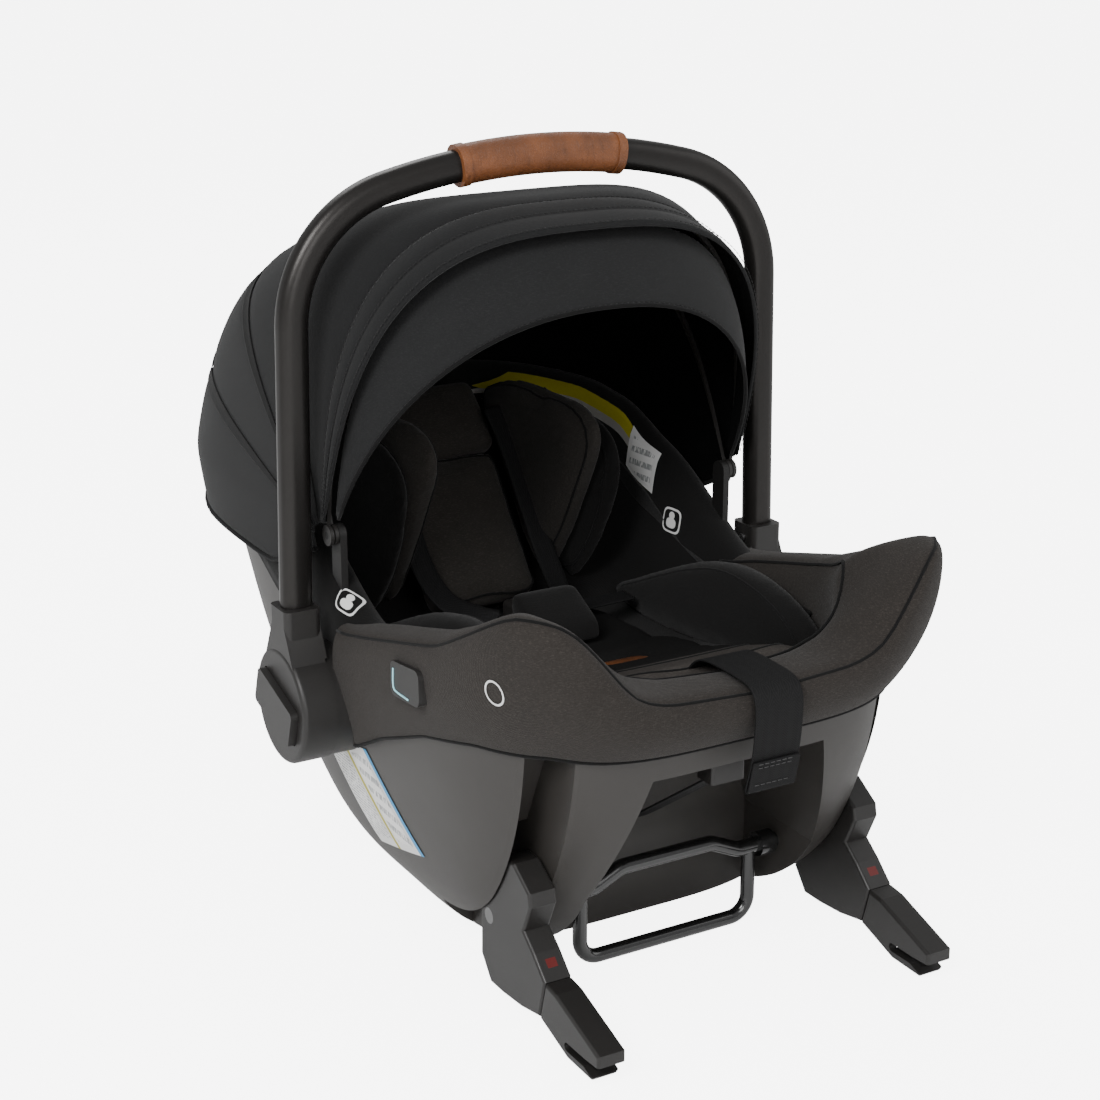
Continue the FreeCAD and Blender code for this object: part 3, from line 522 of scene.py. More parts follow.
def table(pairs, value):
    """Straight-line reading of (position, value) pairs, held beyond the first and last."""
    if value <= pairs[0][0]:
        return pairs[0][1]
    for (a, first), (b, second) in zip(pairs, pairs[1:]):
        if value <= b:
            return first + (second - first) * (value - a) / (b - a)
    return pairs[-1][1]


def dress(nodes, look):
    """Gives each node's material slot a new material."""
    for node in nodes:
        data = NODES[node].data
        data.materials.clear()
        data.materials.append(LOOKS[look])


# ------------------------------------------------------------------ cushions

def pillow(node, look, name, **options):
    """A padded piece blown up from its plain solid."""
    piece = new_object(name, NODES[node].data.copy())
    return inflate(piece, node, look, **options)


def shaped_pad(node, look, name, outline, inner, outer, **options):
    """A crowned pad with a smooth (y, z) outline between two x positions, then blown up."""
    ring = even(closed_curve([Vector((0, y, z)) for y, z in outline]), 44)[:-1]
    centre = sum(ring, Vector()) / len(ring)
    rows = []
    for scale, depth in ((0.06, -0.02), (0.35, 0.0), (0.62, 0.02), (0.82, 0.07), (0.94, 0.2), (1.0, 0.42), (1.0, 0.6),
                         (0.94, 0.82), (0.80, 0.95), (0.55, 1.0), (0.06, 1.0)):
        x = inner + (outer - inner) * depth
        rows.append([Vector((x, 0, 0)) + centre + (point - centre) * scale for point in ring])
    piece = grid(name, rows, look, round_columns=True, levels=0)
    cap_ends(piece)
    piece = inflate(piece, node, look, **options)
    tree = surface_tree(piece)
    seam_x = inner + (outer - inner) * 0.22
    seam = []
    for point in ring:
        away = (point - centre).normalized()
        start = point + away * 0.05 + Vector((seam_x, 0, 0))
        hit = tree.ray_cast(start, -away)[0]
        seam.append(hit if hit else point + Vector((seam_x, 0, 0)))
    cord = cord_mesh(name + "_piping", seam, 0.0011, "piping", closed=True)
    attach(cord, "seat")
    return piece


def closed_curve(points, steps=8):
    """Catmull-Rom curve through a closed ring of points, ending where it starts."""
    curve = []
    count = len(points)
    for index in range(count):
        a, b, c, d = (points[(index + shift) % count] for shift in (-1, 0, 1, 2))
        curve += [spline_point(a, b, c, d, step / steps) for step in range(steps)]
    return curve + [curve[0]]


def open_curve(points, steps=8):
    """Catmull-Rom curve through an open row of points."""
    padded = [points[0] * 2 - points[1]] + list(points) + [points[-1] * 2 - points[-2]]
    curve = []
    for a, b, c, d in zip(padded, padded[1:], padded[2:], padded[3:]):
        curve += [spline_point(a, b, c, d, step / steps) for step in range(steps)]
    return curve + [points[-1]]


def spline_point(a, b, c, d, t):
    return ((b * 2) + (c - a) * t + (a * 2 - b * 5 + c * 4 - d) * t ** 2 + (b * 3 - a - c * 3 + d) * t ** 3) / 2


def surface_tree(piece):
    """Search tree of a piece's finished surface."""
    depsgraph = bpy.context.evaluated_depsgraph_get()
    evaluated = piece.evaluated_get(depsgraph)
    mesh = evaluated.to_mesh()
    tree = BVHTree.FromPolygons([v.co for v in mesh.vertices], [tuple(p.vertices) for p in mesh.polygons])
    evaluated.to_mesh_clear()
    return tree


def inflate(piece, node, look, pressure=4.0, cap=0.008, voxel=0.005, shrink=0.002, fill=0.6):
    """Cloth simulation under pressure, with its movement held to a cap."""
    mesh = piece.data
    mesh.materials.clear()
    mesh.materials.append(LOOKS[look])
    remesh = piece.modifiers.new("remesh", "REMESH")
    remesh.mode = "VOXEL"
    remesh.voxel_size = voxel
    apply_modifiers(piece)
    relax(piece, 3, 0.5)
    for vertex, normal in zip(piece.data.vertices, [v.normal.copy() for v in piece.data.vertices]):
        vertex.co -= normal * shrink
    start = [vertex.co.copy() for vertex in piece.data.vertices]
    cloth = piece.modifiers.new("cloth", "CLOTH")
    cloth.settings.use_pressure = True
    cloth.settings.uniform_pressure_force = pressure
    cloth.settings.effector_weights.gravity = 0.0
    cloth.settings.tension_stiffness = 12
    cloth.settings.compression_stiffness = 12
    cloth.settings.quality = 4
    scene = bpy.context.scene
    for step in range(1, 19):
        scene.frame_set(step)
    apply_modifiers(piece)
    scene.frame_set(1)
    for vertex, rest in zip(piece.data.vertices, start):
        move = vertex.co - rest
        if move.length > cap:
            vertex.co = rest + move.normalized() * cap
    relax(piece, 2, 0.4)
    smooth(piece, 1)
    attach(piece, "seat")
    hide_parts(node)
    return piece


def apply_modifiers(piece):
    depsgraph = bpy.context.evaluated_depsgraph_get()
    mesh = bpy.data.meshes.new_from_object(piece.evaluated_get(depsgraph))
    old = piece.data
    piece.modifiers.clear()
    piece.data = mesh
    mesh.name = piece.name
    if old.users == 0:
        bpy.data.meshes.remove(old)


def relax(piece, rounds, strength):
    edit = bmesh.new()
    edit.from_mesh(piece.data)
    for _ in range(rounds):
        bmesh.ops.smooth_vert(edit, verts=edit.verts, factor=strength, use_axis_x=True, use_axis_y=True,
                              use_axis_z=True)
    edit.to_mesh(piece.data)
    edit.free()


# ------------------------------------------------------------------ canopy

def canopy_half():
    low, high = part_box("canopy_rear_panel")
    return (high.x - low.x) / 2


def canopy_tail():
    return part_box("canopy_rear_panel")[1].y - HINGE.y


def canopy_rise():
    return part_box("canopy_front_panel")[1].z - HINGE.z


def clamped(value):
    return max(0.0, min(1.0, value))


def hood_radius(degrees):
    """Distance of the hood from its hinge line at an angle from level, growing towards the tail."""
    share = clamped((66.0 - degrees) / 66.0)
    crown = canopy_rise() + 1 * MM * clamped((HOOD_FRONT - degrees) / 20)
    return crown + (canopy_tail() - crown) * share ** 1.35


def arch(degrees, half, radius, power=3.0, count=44, start=0.010, slack=0.0):
    """Superellipse arch over the seat at an angle from level, in even steps, its ends clear of the hinge line."""
    tilt = math.radians(degrees)
    fine = []
    for step in range(401):
        share = step / 400
        turn = math.pi * share ** 3 * (10 - 15 * share + 6 * share ** 2)
        reach = radius * max(math.sin(turn), 0.0) ** (2 / power)
        if reach < start:
            continue
        x = half * signed_power(math.cos(turn), 2 / power)
        reach += slack * (math.sin(9.0 * turn + degrees * 0.11) + 0.6 * math.sin(17.0 * turn - degrees * 0.23))
        fine.append(Vector((x, HINGE.y + reach * math.cos(tilt), HINGE.z + reach * math.sin(tilt))))
    return even(fine, count)


def seam_pull(degrees):
    """1 on a bow's seam, falling to 0 between the bows."""
    nearest = min(abs(degrees - seam) for seam in HOOD_SEAMS)
    return math.exp(-(nearest / 2.6) ** 2)


def hood_arch(degrees, settings, grow=0.0, count=44):
    pull = seam_pull(degrees) * settings.seam_dip
    half = canopy_half() - 4 * MM + grow
    half = half + 4 * MM * clamped((80 - degrees) / 40)
    radius = hood_radius(degrees) - pull + grow
    power = 3.1 + 1.5 * clamped((96 - degrees) / 18) + 0.4 * clamped((74 - degrees) / 40)
    slack = clamped((46 - degrees) / 40) * 1.8 * MM
    return arch(degrees, half, radius, power, count, slack=slack)


def skirt_row(drop, settings, count=44):
    """The hood below its hinge line, tucked in under the tail of the shell."""
    row = []
    for point in hood_arch(0.0, settings, count=count):
        back = clamped((point.y - HINGE.y) / 0.11)
        ease = back * back * (3 - 2 * back)
        inward = 1 - 0.05 * (drop / 0.048) ** 1.5
        row.append(Vector((point.x * (1 - 0.012 * drop / 0.048), HINGE.y + (point.y - HINGE.y) * inward,
                           point.z - drop * (0.25 + 0.75 * ease))))
    return row


class SEAT_OT_canopy(bpy.types.Operator):
    """Hood, visor, bow band and piping as curved sheets"""
    bl_idname = "seat.canopy"
    bl_label = "Canopy"

    def execute(self, context):
        settings = context.scene.seat_canopy
        self.hood(settings)
        self.band(settings)
        self.visor(settings)
        return {"FINISHED"}

    def hood(self, settings):
        rows = [skirt_row(drop, settings) for drop in SKIRT_DROPS]
        angles = []
        angle = 0.0
        while angle <= HOOD_FRONT:
            angles.append(angle)
            angle += 1.5 if seam_pull(angle) > 0.02 else 3.0
        rows += [hood_arch(value, settings) for value in angles]
        hood = grid("canopy_hood", rows, "canopy", levels=1)
        hood.data.materials.append(LOOKS["canopy_inner"])
        thicken(hood, settings.cloth, inner=1)
        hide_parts("canopy_mid_panel", "canopy_rear_panel", "canopy_hem")
        cut_size(rows)
        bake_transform(hood)
        for index, angle in enumerate(HOOD_SEAMS[1:]):
            self.seam_tape(index, angle, settings)
        hem = cord_mesh("canopy_hem_cord", skirt_row(SKIRT_DROPS[0], settings), settings.piping * 1.3, "piping")
        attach(hem, "seat")

    def seam_tape(self, index, angle, settings):
        rows = [hood_arch(angle + step, settings, grow=0.0011) for step in (-1.9, -1.2, 0.0, 1.2, 1.9)]
        tape = grid("canopy_seam_tape_%d" % (index + 1), rows, "piping", levels=1)
        thicken(tape, 0.0008)
        cut_size(rows)
        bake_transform(tape)

    def band(self, settings):
        """Bow band at the front of the hood, with its double stitching."""
        half = canopy_half() - 4 * MM
        rise = canopy_rise()
        profile = ((96.0, 2.0), (97.5, 3.2), (100.0, 3.4), (102.0, 2.2), (102.6, 1.2), (103.4, 2.2), (106.0, 2.6),
                   (108.6, 1.2))
        rows = []
        for degrees, proud in profile:
            rows.append(arch(degrees, half + proud * MM * 0.6, rise + (proud - 2.5) * MM, start=0.012))
        band = grid("canopy_bow_band", rows, "canopy", levels=1)
        band.data.materials.append(LOOKS["canopy_inner"])
        thicken(band, 0.003, inner=1)
        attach(band, "canopy_front")
        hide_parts("canopy_front_panel")
        cut_size(rows)
        for index, degrees in enumerate((96.6, 102.6, 108.0)):
            points = arch(degrees, half + 2.0 * MM, rise + 0.6 * MM, count=160, start=0.014)
            seam = stitches("canopy_band_stitch_%d" % (index + 1), points, "thread")
            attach(seam, "canopy_front")

    def visor(self, settings):
        """Front visor, falling from the band to its piped edge."""
        start = canopy_rise()
        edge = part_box("canopy_visor")
        front_radius = math.hypot(edge[0].y - HINGE.y, VISOR_EDGE_RISE)
        first, final = VISOR_ANGLES
        rows = []
        steps = 12
        for step in range(steps + 1):
            share = step / steps
            degrees = first + (final - first) * share
            radius = start - VISOR_TUCK + (front_radius - start + VISOR_TUCK) * (share ** 1.35)
            half = canopy_half() - 13 * MM
            power = 3.0 - 0.75 * share
            rows.append(arch(degrees, half, radius, power, start=0.016))
        visor = grid("canopy_visor_cloth", rows, "visor", levels=1)
        visor.data.materials.append(LOOKS["canopy_inner"])
        thicken(visor, settings.cloth, inner=1)
        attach(visor, "visor")
        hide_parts("canopy_visor")
        cut_size(rows)
        last = rows[-1]
        rim = cord_mesh("canopy_visor_piping", last, settings.piping, "piping")
        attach(rim, "visor")
        inner = [a.lerp(b, 0.75) for a, b in zip(rows[-2], last)]
        row = stitches("canopy_visor_stitch", [p + (p - HINGE).normalized() * 0.0006 for p in inner], "thread")
        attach(row, "visor")


# ------------------------------------------------------------------ outer cover

def cover_sizes():
    low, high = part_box("front_cover")
    return (high.x - low.x) / 2, low.y, high.y


# Heights of the cover's top edge and hem along its sides, as (y, z), and of its lip across the front, as (x, z)
SIDE_TOP = ((-0.322, 0.318), (-0.290, 0.324), (-0.2725, 0.318), (-0.2505, 0.304), (-0.1995, 0.276), (-0.1455, 0.262),
            (-0.0925, 0.248), (-0.0405, 0.236))
SIDE_HEM = ((-0.322, 0.200), (-0.2725, 0.211), (-0.2155, 0.206), (-0.1545, 0.192), (-0.0875, 0.166), (-0.0405, 0.142))
LIP_TOP = ((0.0, 0.2455), (0.080, 0.250), (0.106, 0.259), (0.128, 0.290), (0.150, 0.318), (0.170, 0.322),
           (0.200, 0.316))


def cover_top(point):
    return min(rounded_table(SIDE_TOP, point.y, 0.020), rounded_table(LIP_TOP, abs(point.x), RIM_ROUNDING))


def cover_hem(point):
    return table(SIDE_HEM, point.y)


def rounded_table(pairs, value, reach):
    """Table reading with its corners rounded over a reach either side."""
    weights = (1, 2, 3, 4, 3, 2, 1)
    total = sum(weight * table(pairs, value + reach * (step - 3) / 3) for step, weight in enumerate(weights))
    return total / sum(weights)


def horseshoe(half, front, back, power, count):
    """Plan of the foot end from the right side round the front to the left, in even steps."""
    fine = []
    for step in range(601):
        turn = math.pi * step / 600
        x = half * signed_power(math.cos(turn), 2 / power)
        y = back - (back - front) * max(math.sin(turn), 0.0) ** (2 / power)
        fine.append(Vector((x, y, 0.0)))
    return even(fine, count)


def even(points, count):
    """The same line in count equal steps."""
    lengths = running_lengths(points, False)
    return [point_along(points, lengths, lengths[-1] * step / count) for step in range(count + 1)]


class SEAT_OT_cover(bpy.types.Operator):
    """Heathered outer cover round the foot end, with its rolled lip, seams and piping"""
    bl_idname = "seat.cover"
    bl_label = "Outer cover"

    def execute(self, context):
        half, front, back = cover_sizes()
        back = back + 0.002
        tops = horseshoe(half - 1 * MM, front, back, 6.2, COVER_STEPS)
        hems = horseshoe(half - 13 * MM, front + 19 * MM, back, 4.2, COVER_STEPS)
        inners = horseshoe(0.150, front + 58 * MM, back, 4.0, COVER_STEPS)
        rows = []
        for top_plan, hem_plan, inner in zip(tops, hems, inners):
            top = cover_top(top_plan)
            hem = cover_hem(hem_plan)
            inner_top = min(top, cover_top(inner) + 0.004)
            tall = top - hem
            inward = inner - top_plan
            width = inward.length
            inward = inward / width
            row = []
            for drop, bulge in ((1.06, -13.0), (1.008, -1.5), (0.985, 0.5), (0.82, 2.2), (0.58, 3.0), (0.32, 2.2),
                                (0.12, 0.8), (0.045, -2.2)):
                ease = min(drop, 1.0) ** 2.4
                place = top_plan.lerp(hem_plan, ease) - inward * (bulge * MM)
                row.append(Vector((place.x, place.y, top - tall * drop)))
            lift = 0.0045 if top > inner_top + 0.01 else 0.003
            for share, sink in ((0.10, 0.0015), (0.16, -0.001), (0.45, 0.0), (0.75, 0.0), (0.93, 0.004)):
                place = top_plan.lerp(inner, share)
                height = top + (inner_top - top) * share + lift * math.sin(math.pi * share) - sink
                row.append(Vector((place.x, place.y, height)))
            for offset, height in ((1.5, inner_top - 0.016), (2.0, inner_top - 0.045), (-4.0, 0.196)):
                place = inner + inward * (offset * MM)
                row.append(Vector((place.x, place.y, height)))
            rows.append(row)
        cover = grid("outer_cover", rows, "cover", levels=2)
        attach(cover, "seat")
        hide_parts("front_cover")
        crest = [row[8].lerp(row[7], 0.35) for row in rows]
        self.cord("cover_crest_piping", crest, 0.0012)
        self.cord("cover_hem_piping", [row[1] for row in rows], 0.0016)
        self.cord("cover_inner_piping", [row[12] + Vector((0, 0, 0.0002)) for row in rows], 0.0011)
        return {"FINISHED"}

    def cord(self, name, points, radius):
        piping = cord_mesh(name, points, radius, "piping")
        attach(piping, "seat")


# ------------------------------------------------------------------ lining and insert

# The bucket's floor and rim, the outlines of the side pads and the shoulder strap's path, seen from the side
FLOOR_LINE = ((-0.272, 0.232), (-0.160, 0.198), (-0.070, 0.172), (0.050, 0.166), (0.1075, 0.171), (0.1895, 0.279),
              (0.2515, 0.333), (0.33, 0.34))
RIM_LINE = ((-0.30, 0.232), (-0.05, 0.238), (-0.02, 0.250), (0.0, 0.266), (0.02, 0.284), (0.05, 0.298), (0.09, 0.308),
            (0.12, 0.326), (0.18, 0.336), (0.34, 0.336))
WING = ((0.112, 0.186), (0.078, 0.222), (0.050, 0.268), (0.024, 0.318), (0.022, 0.342), (0.050, 0.359),
        (0.104, 0.365), (0.164, 0.361), (0.214, 0.344), (0.228, 0.328), (0.200, 0.294), (0.168, 0.250), (0.138, 0.210))
WING_BACK = ((0.106, 0.182), (0.072, 0.212), (0.046, 0.252), (0.030, 0.292), (0.034, 0.322), (0.064, 0.340),
             (0.124, 0.348), (0.190, 0.340), (0.222, 0.324), (0.196, 0.284), (0.162, 0.240), (0.130, 0.200))
BOLSTER = ((0.072, 0.186), (0.030, 0.208), (-0.018, 0.230), (-0.066, 0.249), (-0.112, 0.258), (-0.160, 0.254),
           (-0.200, 0.240), (-0.220, 0.224), (-0.214, 0.206), (-0.150, 0.186), (-0.060, 0.176), (0.020, 0.174))
SHOULDER_PATH = ((0.054, 0.168, 0.330), (0.056, 0.146, 0.306), (0.057, 0.118, 0.268), (0.057, 0.088, 0.228),
                 (0.052, 0.056, 0.206), (0.040, 0.024, 0.201), (0.030, 0.010, 0.199))


class SEAT_OT_lining(bpy.types.Operator):
    """Black jersey lining of the bucket and the padded insert on it"""
    bl_idname = "seat.lining"
    bl_label = "Lining and insert"

    def execute(self, context):
        self.bucket()
        seat = pillow("seat_pad", "seat", "seat_cushion", cap=0.006, fill=0.5)
        torso = pillow("torso_pad", "insert", "torso_cushion", cap=0.007)
        pillow("head_pad", "insert", "head_cushion", cap=0.006)
        pillow("crotch_pad", "lining", "crotch_cushion", cap=0.005, voxel=0.004)
        for side, sign in (("right", 1), ("left", -1)):
            wing = "head_wing_" + side
            shaped_pad(wing, "insert", "head_wing_cushion_" + side, WING, 0.064 * sign, 0.086 * sign, cap=0.006)
            shaped_pad(wing, "lining", "head_wing_back_" + side, WING_BACK, 0.087 * sign, 0.108 * sign, cap=0.005)
            shaped_pad("thigh_pad_" + side, "lining", "thigh_cushion_" + side, BOLSTER, 0.100 * sign, 0.140 * sign,
                       cap=0.006)
            self.shoulder_strap(side, sign)
        self.torso_seams(torso)
        self.seat_seams(seat)
        return {"FINISHED"}

    def shoulder_strap(self, side, sign):
        """Harness webbing from the back, past the side of the insert, to the buckle."""
        path = open_curve([Vector((x * sign, y, z)) for x, y, z in SHOULDER_PATH], 5)
        rows = []
        for index, point in enumerate(path):
            ahead = path[min(index + 1, len(path) - 1)] - path[max(index - 1, 0)]
            across = ahead.cross(Vector((0, -0.8, 0.6))).normalized() * 0.010
            rows.append([point - across, point - across * 0.4, point + across * 0.4, point + across])
        strap = grid("shoulder_strap_web_" + side, rows, "webbing", levels=1)
        thicken(strap, 0.0014, 0.0)
        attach(strap, "seat")
        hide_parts("shoulder_strap_" + side)
        cut_size(rows)

    def torso_seams(self, torso):
        """Piping round the torso cushion's front face."""
        tree = surface_tree(torso)
        low, high = Vector((0, 0.0755, 0.195)), Vector((0, 0.1535, 0.299))
        normal = Vector((0, low.z - high.z, high.y - low.y)).normalized()
        corners = ((-0.045, 0.05), (-0.045, 0.5), (-0.044, 0.9), (-0.030, 0.965), (0.0, 0.985), (0.030, 0.965),
                   (0.044, 0.9), (0.045, 0.5), (0.045, 0.05), (0.0, 0.03))
        ring = []
        for point in closed_curve([Vector((x, share, 0)) for x, share in corners])[:-1]:
            place = low.lerp(high, point.y) + Vector((point.x, 0, 0))
            hit = tree.ray_cast(place + normal * 0.08, -normal)[0]
            if hit:
                ring.append(hit)
        cord = cord_mesh("torso_cushion_piping", ring, 0.0012, "piping", closed=True)
        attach(cord, "seat")

    def seat_seams(self, seat):
        """Seams across the front roll of the seat cushion."""
        tree = surface_tree(seat)
        for index, (middle, bow) in enumerate(((-0.196, 0.010), (-0.228, 0.014))):
            row = []
            for step in range(41):
                x = -0.084 + 0.168 * step / 40
                y = middle - bow * (1 - (x / 0.084) ** 2)
                hit = tree.ray_cast(Vector((x, y, 0.34)), Vector((0, 0, -1)))[0]
                if hit:
                    row.append(hit)
            cord = cord_mesh("seat_cushion_seam_%d" % (index + 1), row, 0.0010, "piping")
            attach(cord, "seat")

    def bucket(self):
        rows = []
        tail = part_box("rear_cover")[1].y
        shares = ((0.0165, -0.040), (0.0165, -0.020), (0.013, -0.004), (0.004, 0.002), (-0.009, -0.001))
        for step in range(73):
            turn = math.pi * (-0.18 + 1.36 * step / 72)
            x = BUCKET_HALF * signed_power(math.cos(turn), 2 / 4.2)
            y = 0.02 + (tail - 0.03) * signed_power(math.sin(turn), 2 / 3.2)
            y = max(y, -0.262)
            rim = Vector((x, y, rounded_table(RIM_LINE, y, RIM_ROUNDING)))
            outward = Vector((x / BUCKET_HALF, max(y, 0.0) / tail, 0.0)).normalized()
            row = [rim + outward * reach + Vector((0, 0, lift)) for reach, lift in shares]
            skirt = row[0].copy()
            skirt.z = max(rim.z - 0.080, 0.207)
            row.insert(0, skirt)
            floor_y = max(-0.25, min(y * 0.9, 0.19))
            inner = Vector((max(-0.142, min(0.142, x * 0.88)), floor_y if abs(x) > 0.12 else min(floor_y, 0.2), 0))
            inner.z = table(FLOOR_LINE, inner.y) + 0.02
            for share in (0.3, 0.65, 0.92):
                row.append(row[5].lerp(inner, share))
            centre = Vector((inner.x * 0.75, inner.y * 0.96, table(FLOOR_LINE, inner.y * 0.96) + 0.003))
            row.append(centre)
            row.append(Vector((inner.x * 0.2, inner.y * 0.9, table(FLOOR_LINE, inner.y * 0.9) + 0.003)))
            rows.append(row)
        lining = grid("bucket_lining", rows, "lining", levels=2)
        thicken(lining, 0.002)
        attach(lining, "seat")
        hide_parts("rear_cover")
        cut_size(rows)


# ------------------------------------------------------------------ straps

# Straps in profile, as (y, z)
PULL_PATH = ((-0.240, 0.238), (-0.252, 0.2490), (-0.268, 0.2530), (-0.298, 0.2530), (-0.3165, 0.2505),
             (-0.3238, 0.240), (-0.3242, 0.222), (-0.3215, 0.200), (-0.3150, 0.176), (-0.3152, 0.1735),
             (-0.3172, 0.1740), (-0.3186, 0.178), (-0.3236, 0.198))
RELEASE_PATH = ((-0.2755, 0.170), (-0.225, 0.1345), (-0.1675, 0.0945), (-0.1575, 0.0925))
TAB_PATH = ((-0.1640, 0.2090), (-0.1590, 0.2112), (-0.1400, 0.2090), (-0.1220, 0.2030))


def ribbon(name, node, path, across, thickness, look):
    """Flat strap along a path, as wide as the across vector."""
    rows = []
    for point in open_curve(path, 6):
        rows.append([point + across * share for share in (-0.5, -0.47, -0.2, 0.2, 0.47, 0.5)])
    strap = grid(name, rows, look, levels=1)
    thicken(strap, thickness, 0.0)
    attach(strap, "seat")
    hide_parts(node)
    cut_size(rows)


class SEAT_OT_straps(bpy.types.Operator):
    """Pull strap, release webbing, lap straps and the leather tab"""
    bl_idname = "seat.straps"
    bl_label = "Straps"

    def execute(self, context):
        low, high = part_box("pull_strap")
        middle, width = (low.x + high.x) / 2, high.x - low.x
        path = [Vector((middle, y, z)) for y, z in PULL_PATH]
        ribbon("pull_strap_web", "pull_strap", path, Vector((width, 0, 0)), 0.0014, "webbing")
        low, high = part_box("release_strap")
        middle, width = (low.x + high.x) / 2, high.x - low.x
        path = [Vector((middle, y, z)) for y, z in RELEASE_PATH]
        ribbon("release_strap_web", "release_strap", path, Vector((width, 0, 0)), 0.0014, "webbing")
        path = [Vector((0, y, z)) for y, z in TAB_PATH]
        ribbon("leather_tab_sheet", "leather_tab", path, Vector((0.032, 0, 0)), 0.0018, "tab")
        for side, sign in (("right", 1), ("left", -1)):
            path = [Vector((x * sign, 0.0115, z)) for x, z in ((0.030, 0.1935), (0.050, 0.1975), (0.075, 0.1985),
                                                              (0.096, 0.1990))]
            ribbon("lap_strap_web_" + side, "lap_strap_" + side, path, Vector((0, 0.020, 0)), 0.0014, "webbing")
            self.spring(side, sign)
        return {"FINISHED"}

    def spring(self, side, sign):
        """Coil spring behind a hub button, built at its rest length on the handle; the real spring shortens as the
        button is pressed, this coil does not.
        """
        low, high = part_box("hub_spring_" + side)
        inner, outer = (low.x, high.x) if sign > 0 else (high.x, low.x)
        centre = (low + high) / 2
        radius = (high.z - low.z) / 2 - 0.001
        wire = 0.0005
        points = []
        for step in range(97):
            turn = 2 * math.pi * 3 * step / 96
            x = inner + sign * wire + (outer - inner - sign * 2 * wire) * step / 96
            points.append(Vector((x, centre.y + radius * math.cos(turn), centre.z + radius * math.sin(turn))))
        coil = cord_mesh("hub_spring_coil_" + side, points, wire, "steel", sides=6)
        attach(coil, "handle")
        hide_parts("hub_spring_" + side)
        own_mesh(coil)


# ------------------------------------------------------------------ labels and trims

def decal(name, look, tree, outline, direction, lift, fine=10):
    """A flat print laid on a surface: outline gives its four corners in order."""
    a, b, c, d = outline
    rows = []
    for i in range(fine + 1):
        row = []
        for j in range(fine + 1):
            u, v = i / fine, j / fine
            place = a.lerp(b, u).lerp(d.lerp(c, u), v)
            row.append(laid(tree, place, direction, lift, 0.25))
        rows.append(row)
    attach(grid(name, rows, look, levels=0), "seat")


def laid(tree, place, direction, lift, back=0.0):
    """The nearest point of the surface ahead of place, raised by lift."""
    hit, normal, _, _ = tree.ray_cast(place - direction * back, direction)
    if hit is None:
        hit, normal, _, _ = tree.find_nearest(place + direction * 0.16)
    if normal.dot(direction) > 0:
        normal = -normal
    return hit + normal * lift


def blob(name, look, tree, centre, width, height, direction, lift, power):
    """A rounded print laid on a surface."""
    rows = []
    across = Vector((0, 1, 0))
    for ring in range(1, PRINT_RINGS + 1):
        row = []
        for step in range(PRINT_STEPS):
            turn = 2 * math.pi * step / PRINT_STEPS
            u = signed_power(math.cos(turn), 2 / power) * width / 2 * ring / PRINT_RINGS
            v = signed_power(math.sin(turn), 2 / power) * height / 2 * ring / PRINT_RINGS
            row.append(laid(tree, centre + across * u + Vector((0, 0, v)), direction, lift))
        rows.append(row)
    piece = grid(name, rows, look, round_columns=True, levels=0)
    fill_middle(piece)
    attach(piece, "seat")


def fill_middle(piece):
    """Closes the hole inside a print's first ring and leaves its outer edge open."""
    edit = bmesh.new()
    edit.from_mesh(piece.data)
    edit.verts.ensure_lookup_table()
    bmesh.ops.contextual_create(edit, geom=[edit.verts[index] for index in range(PRINT_STEPS)])
    edit.to_mesh(piece.data)
    edit.free()


# Name, look, rise of its centre, width, height, lift from the cloth and roundness of each part of a badge
BADGE = (("field", "white", 0.0, 0.024, 0.021, 0.0008, 4.0), ("inset", "lining", 0.0, 0.0205, 0.0175, 0.0011, 4.0),
         ("body", "white", -0.0022, 0.013, 0.0085, 0.0014, 2.6),
         ("head", "white", 0.0042, 0.0075, 0.0065, 0.0014, 2.0))


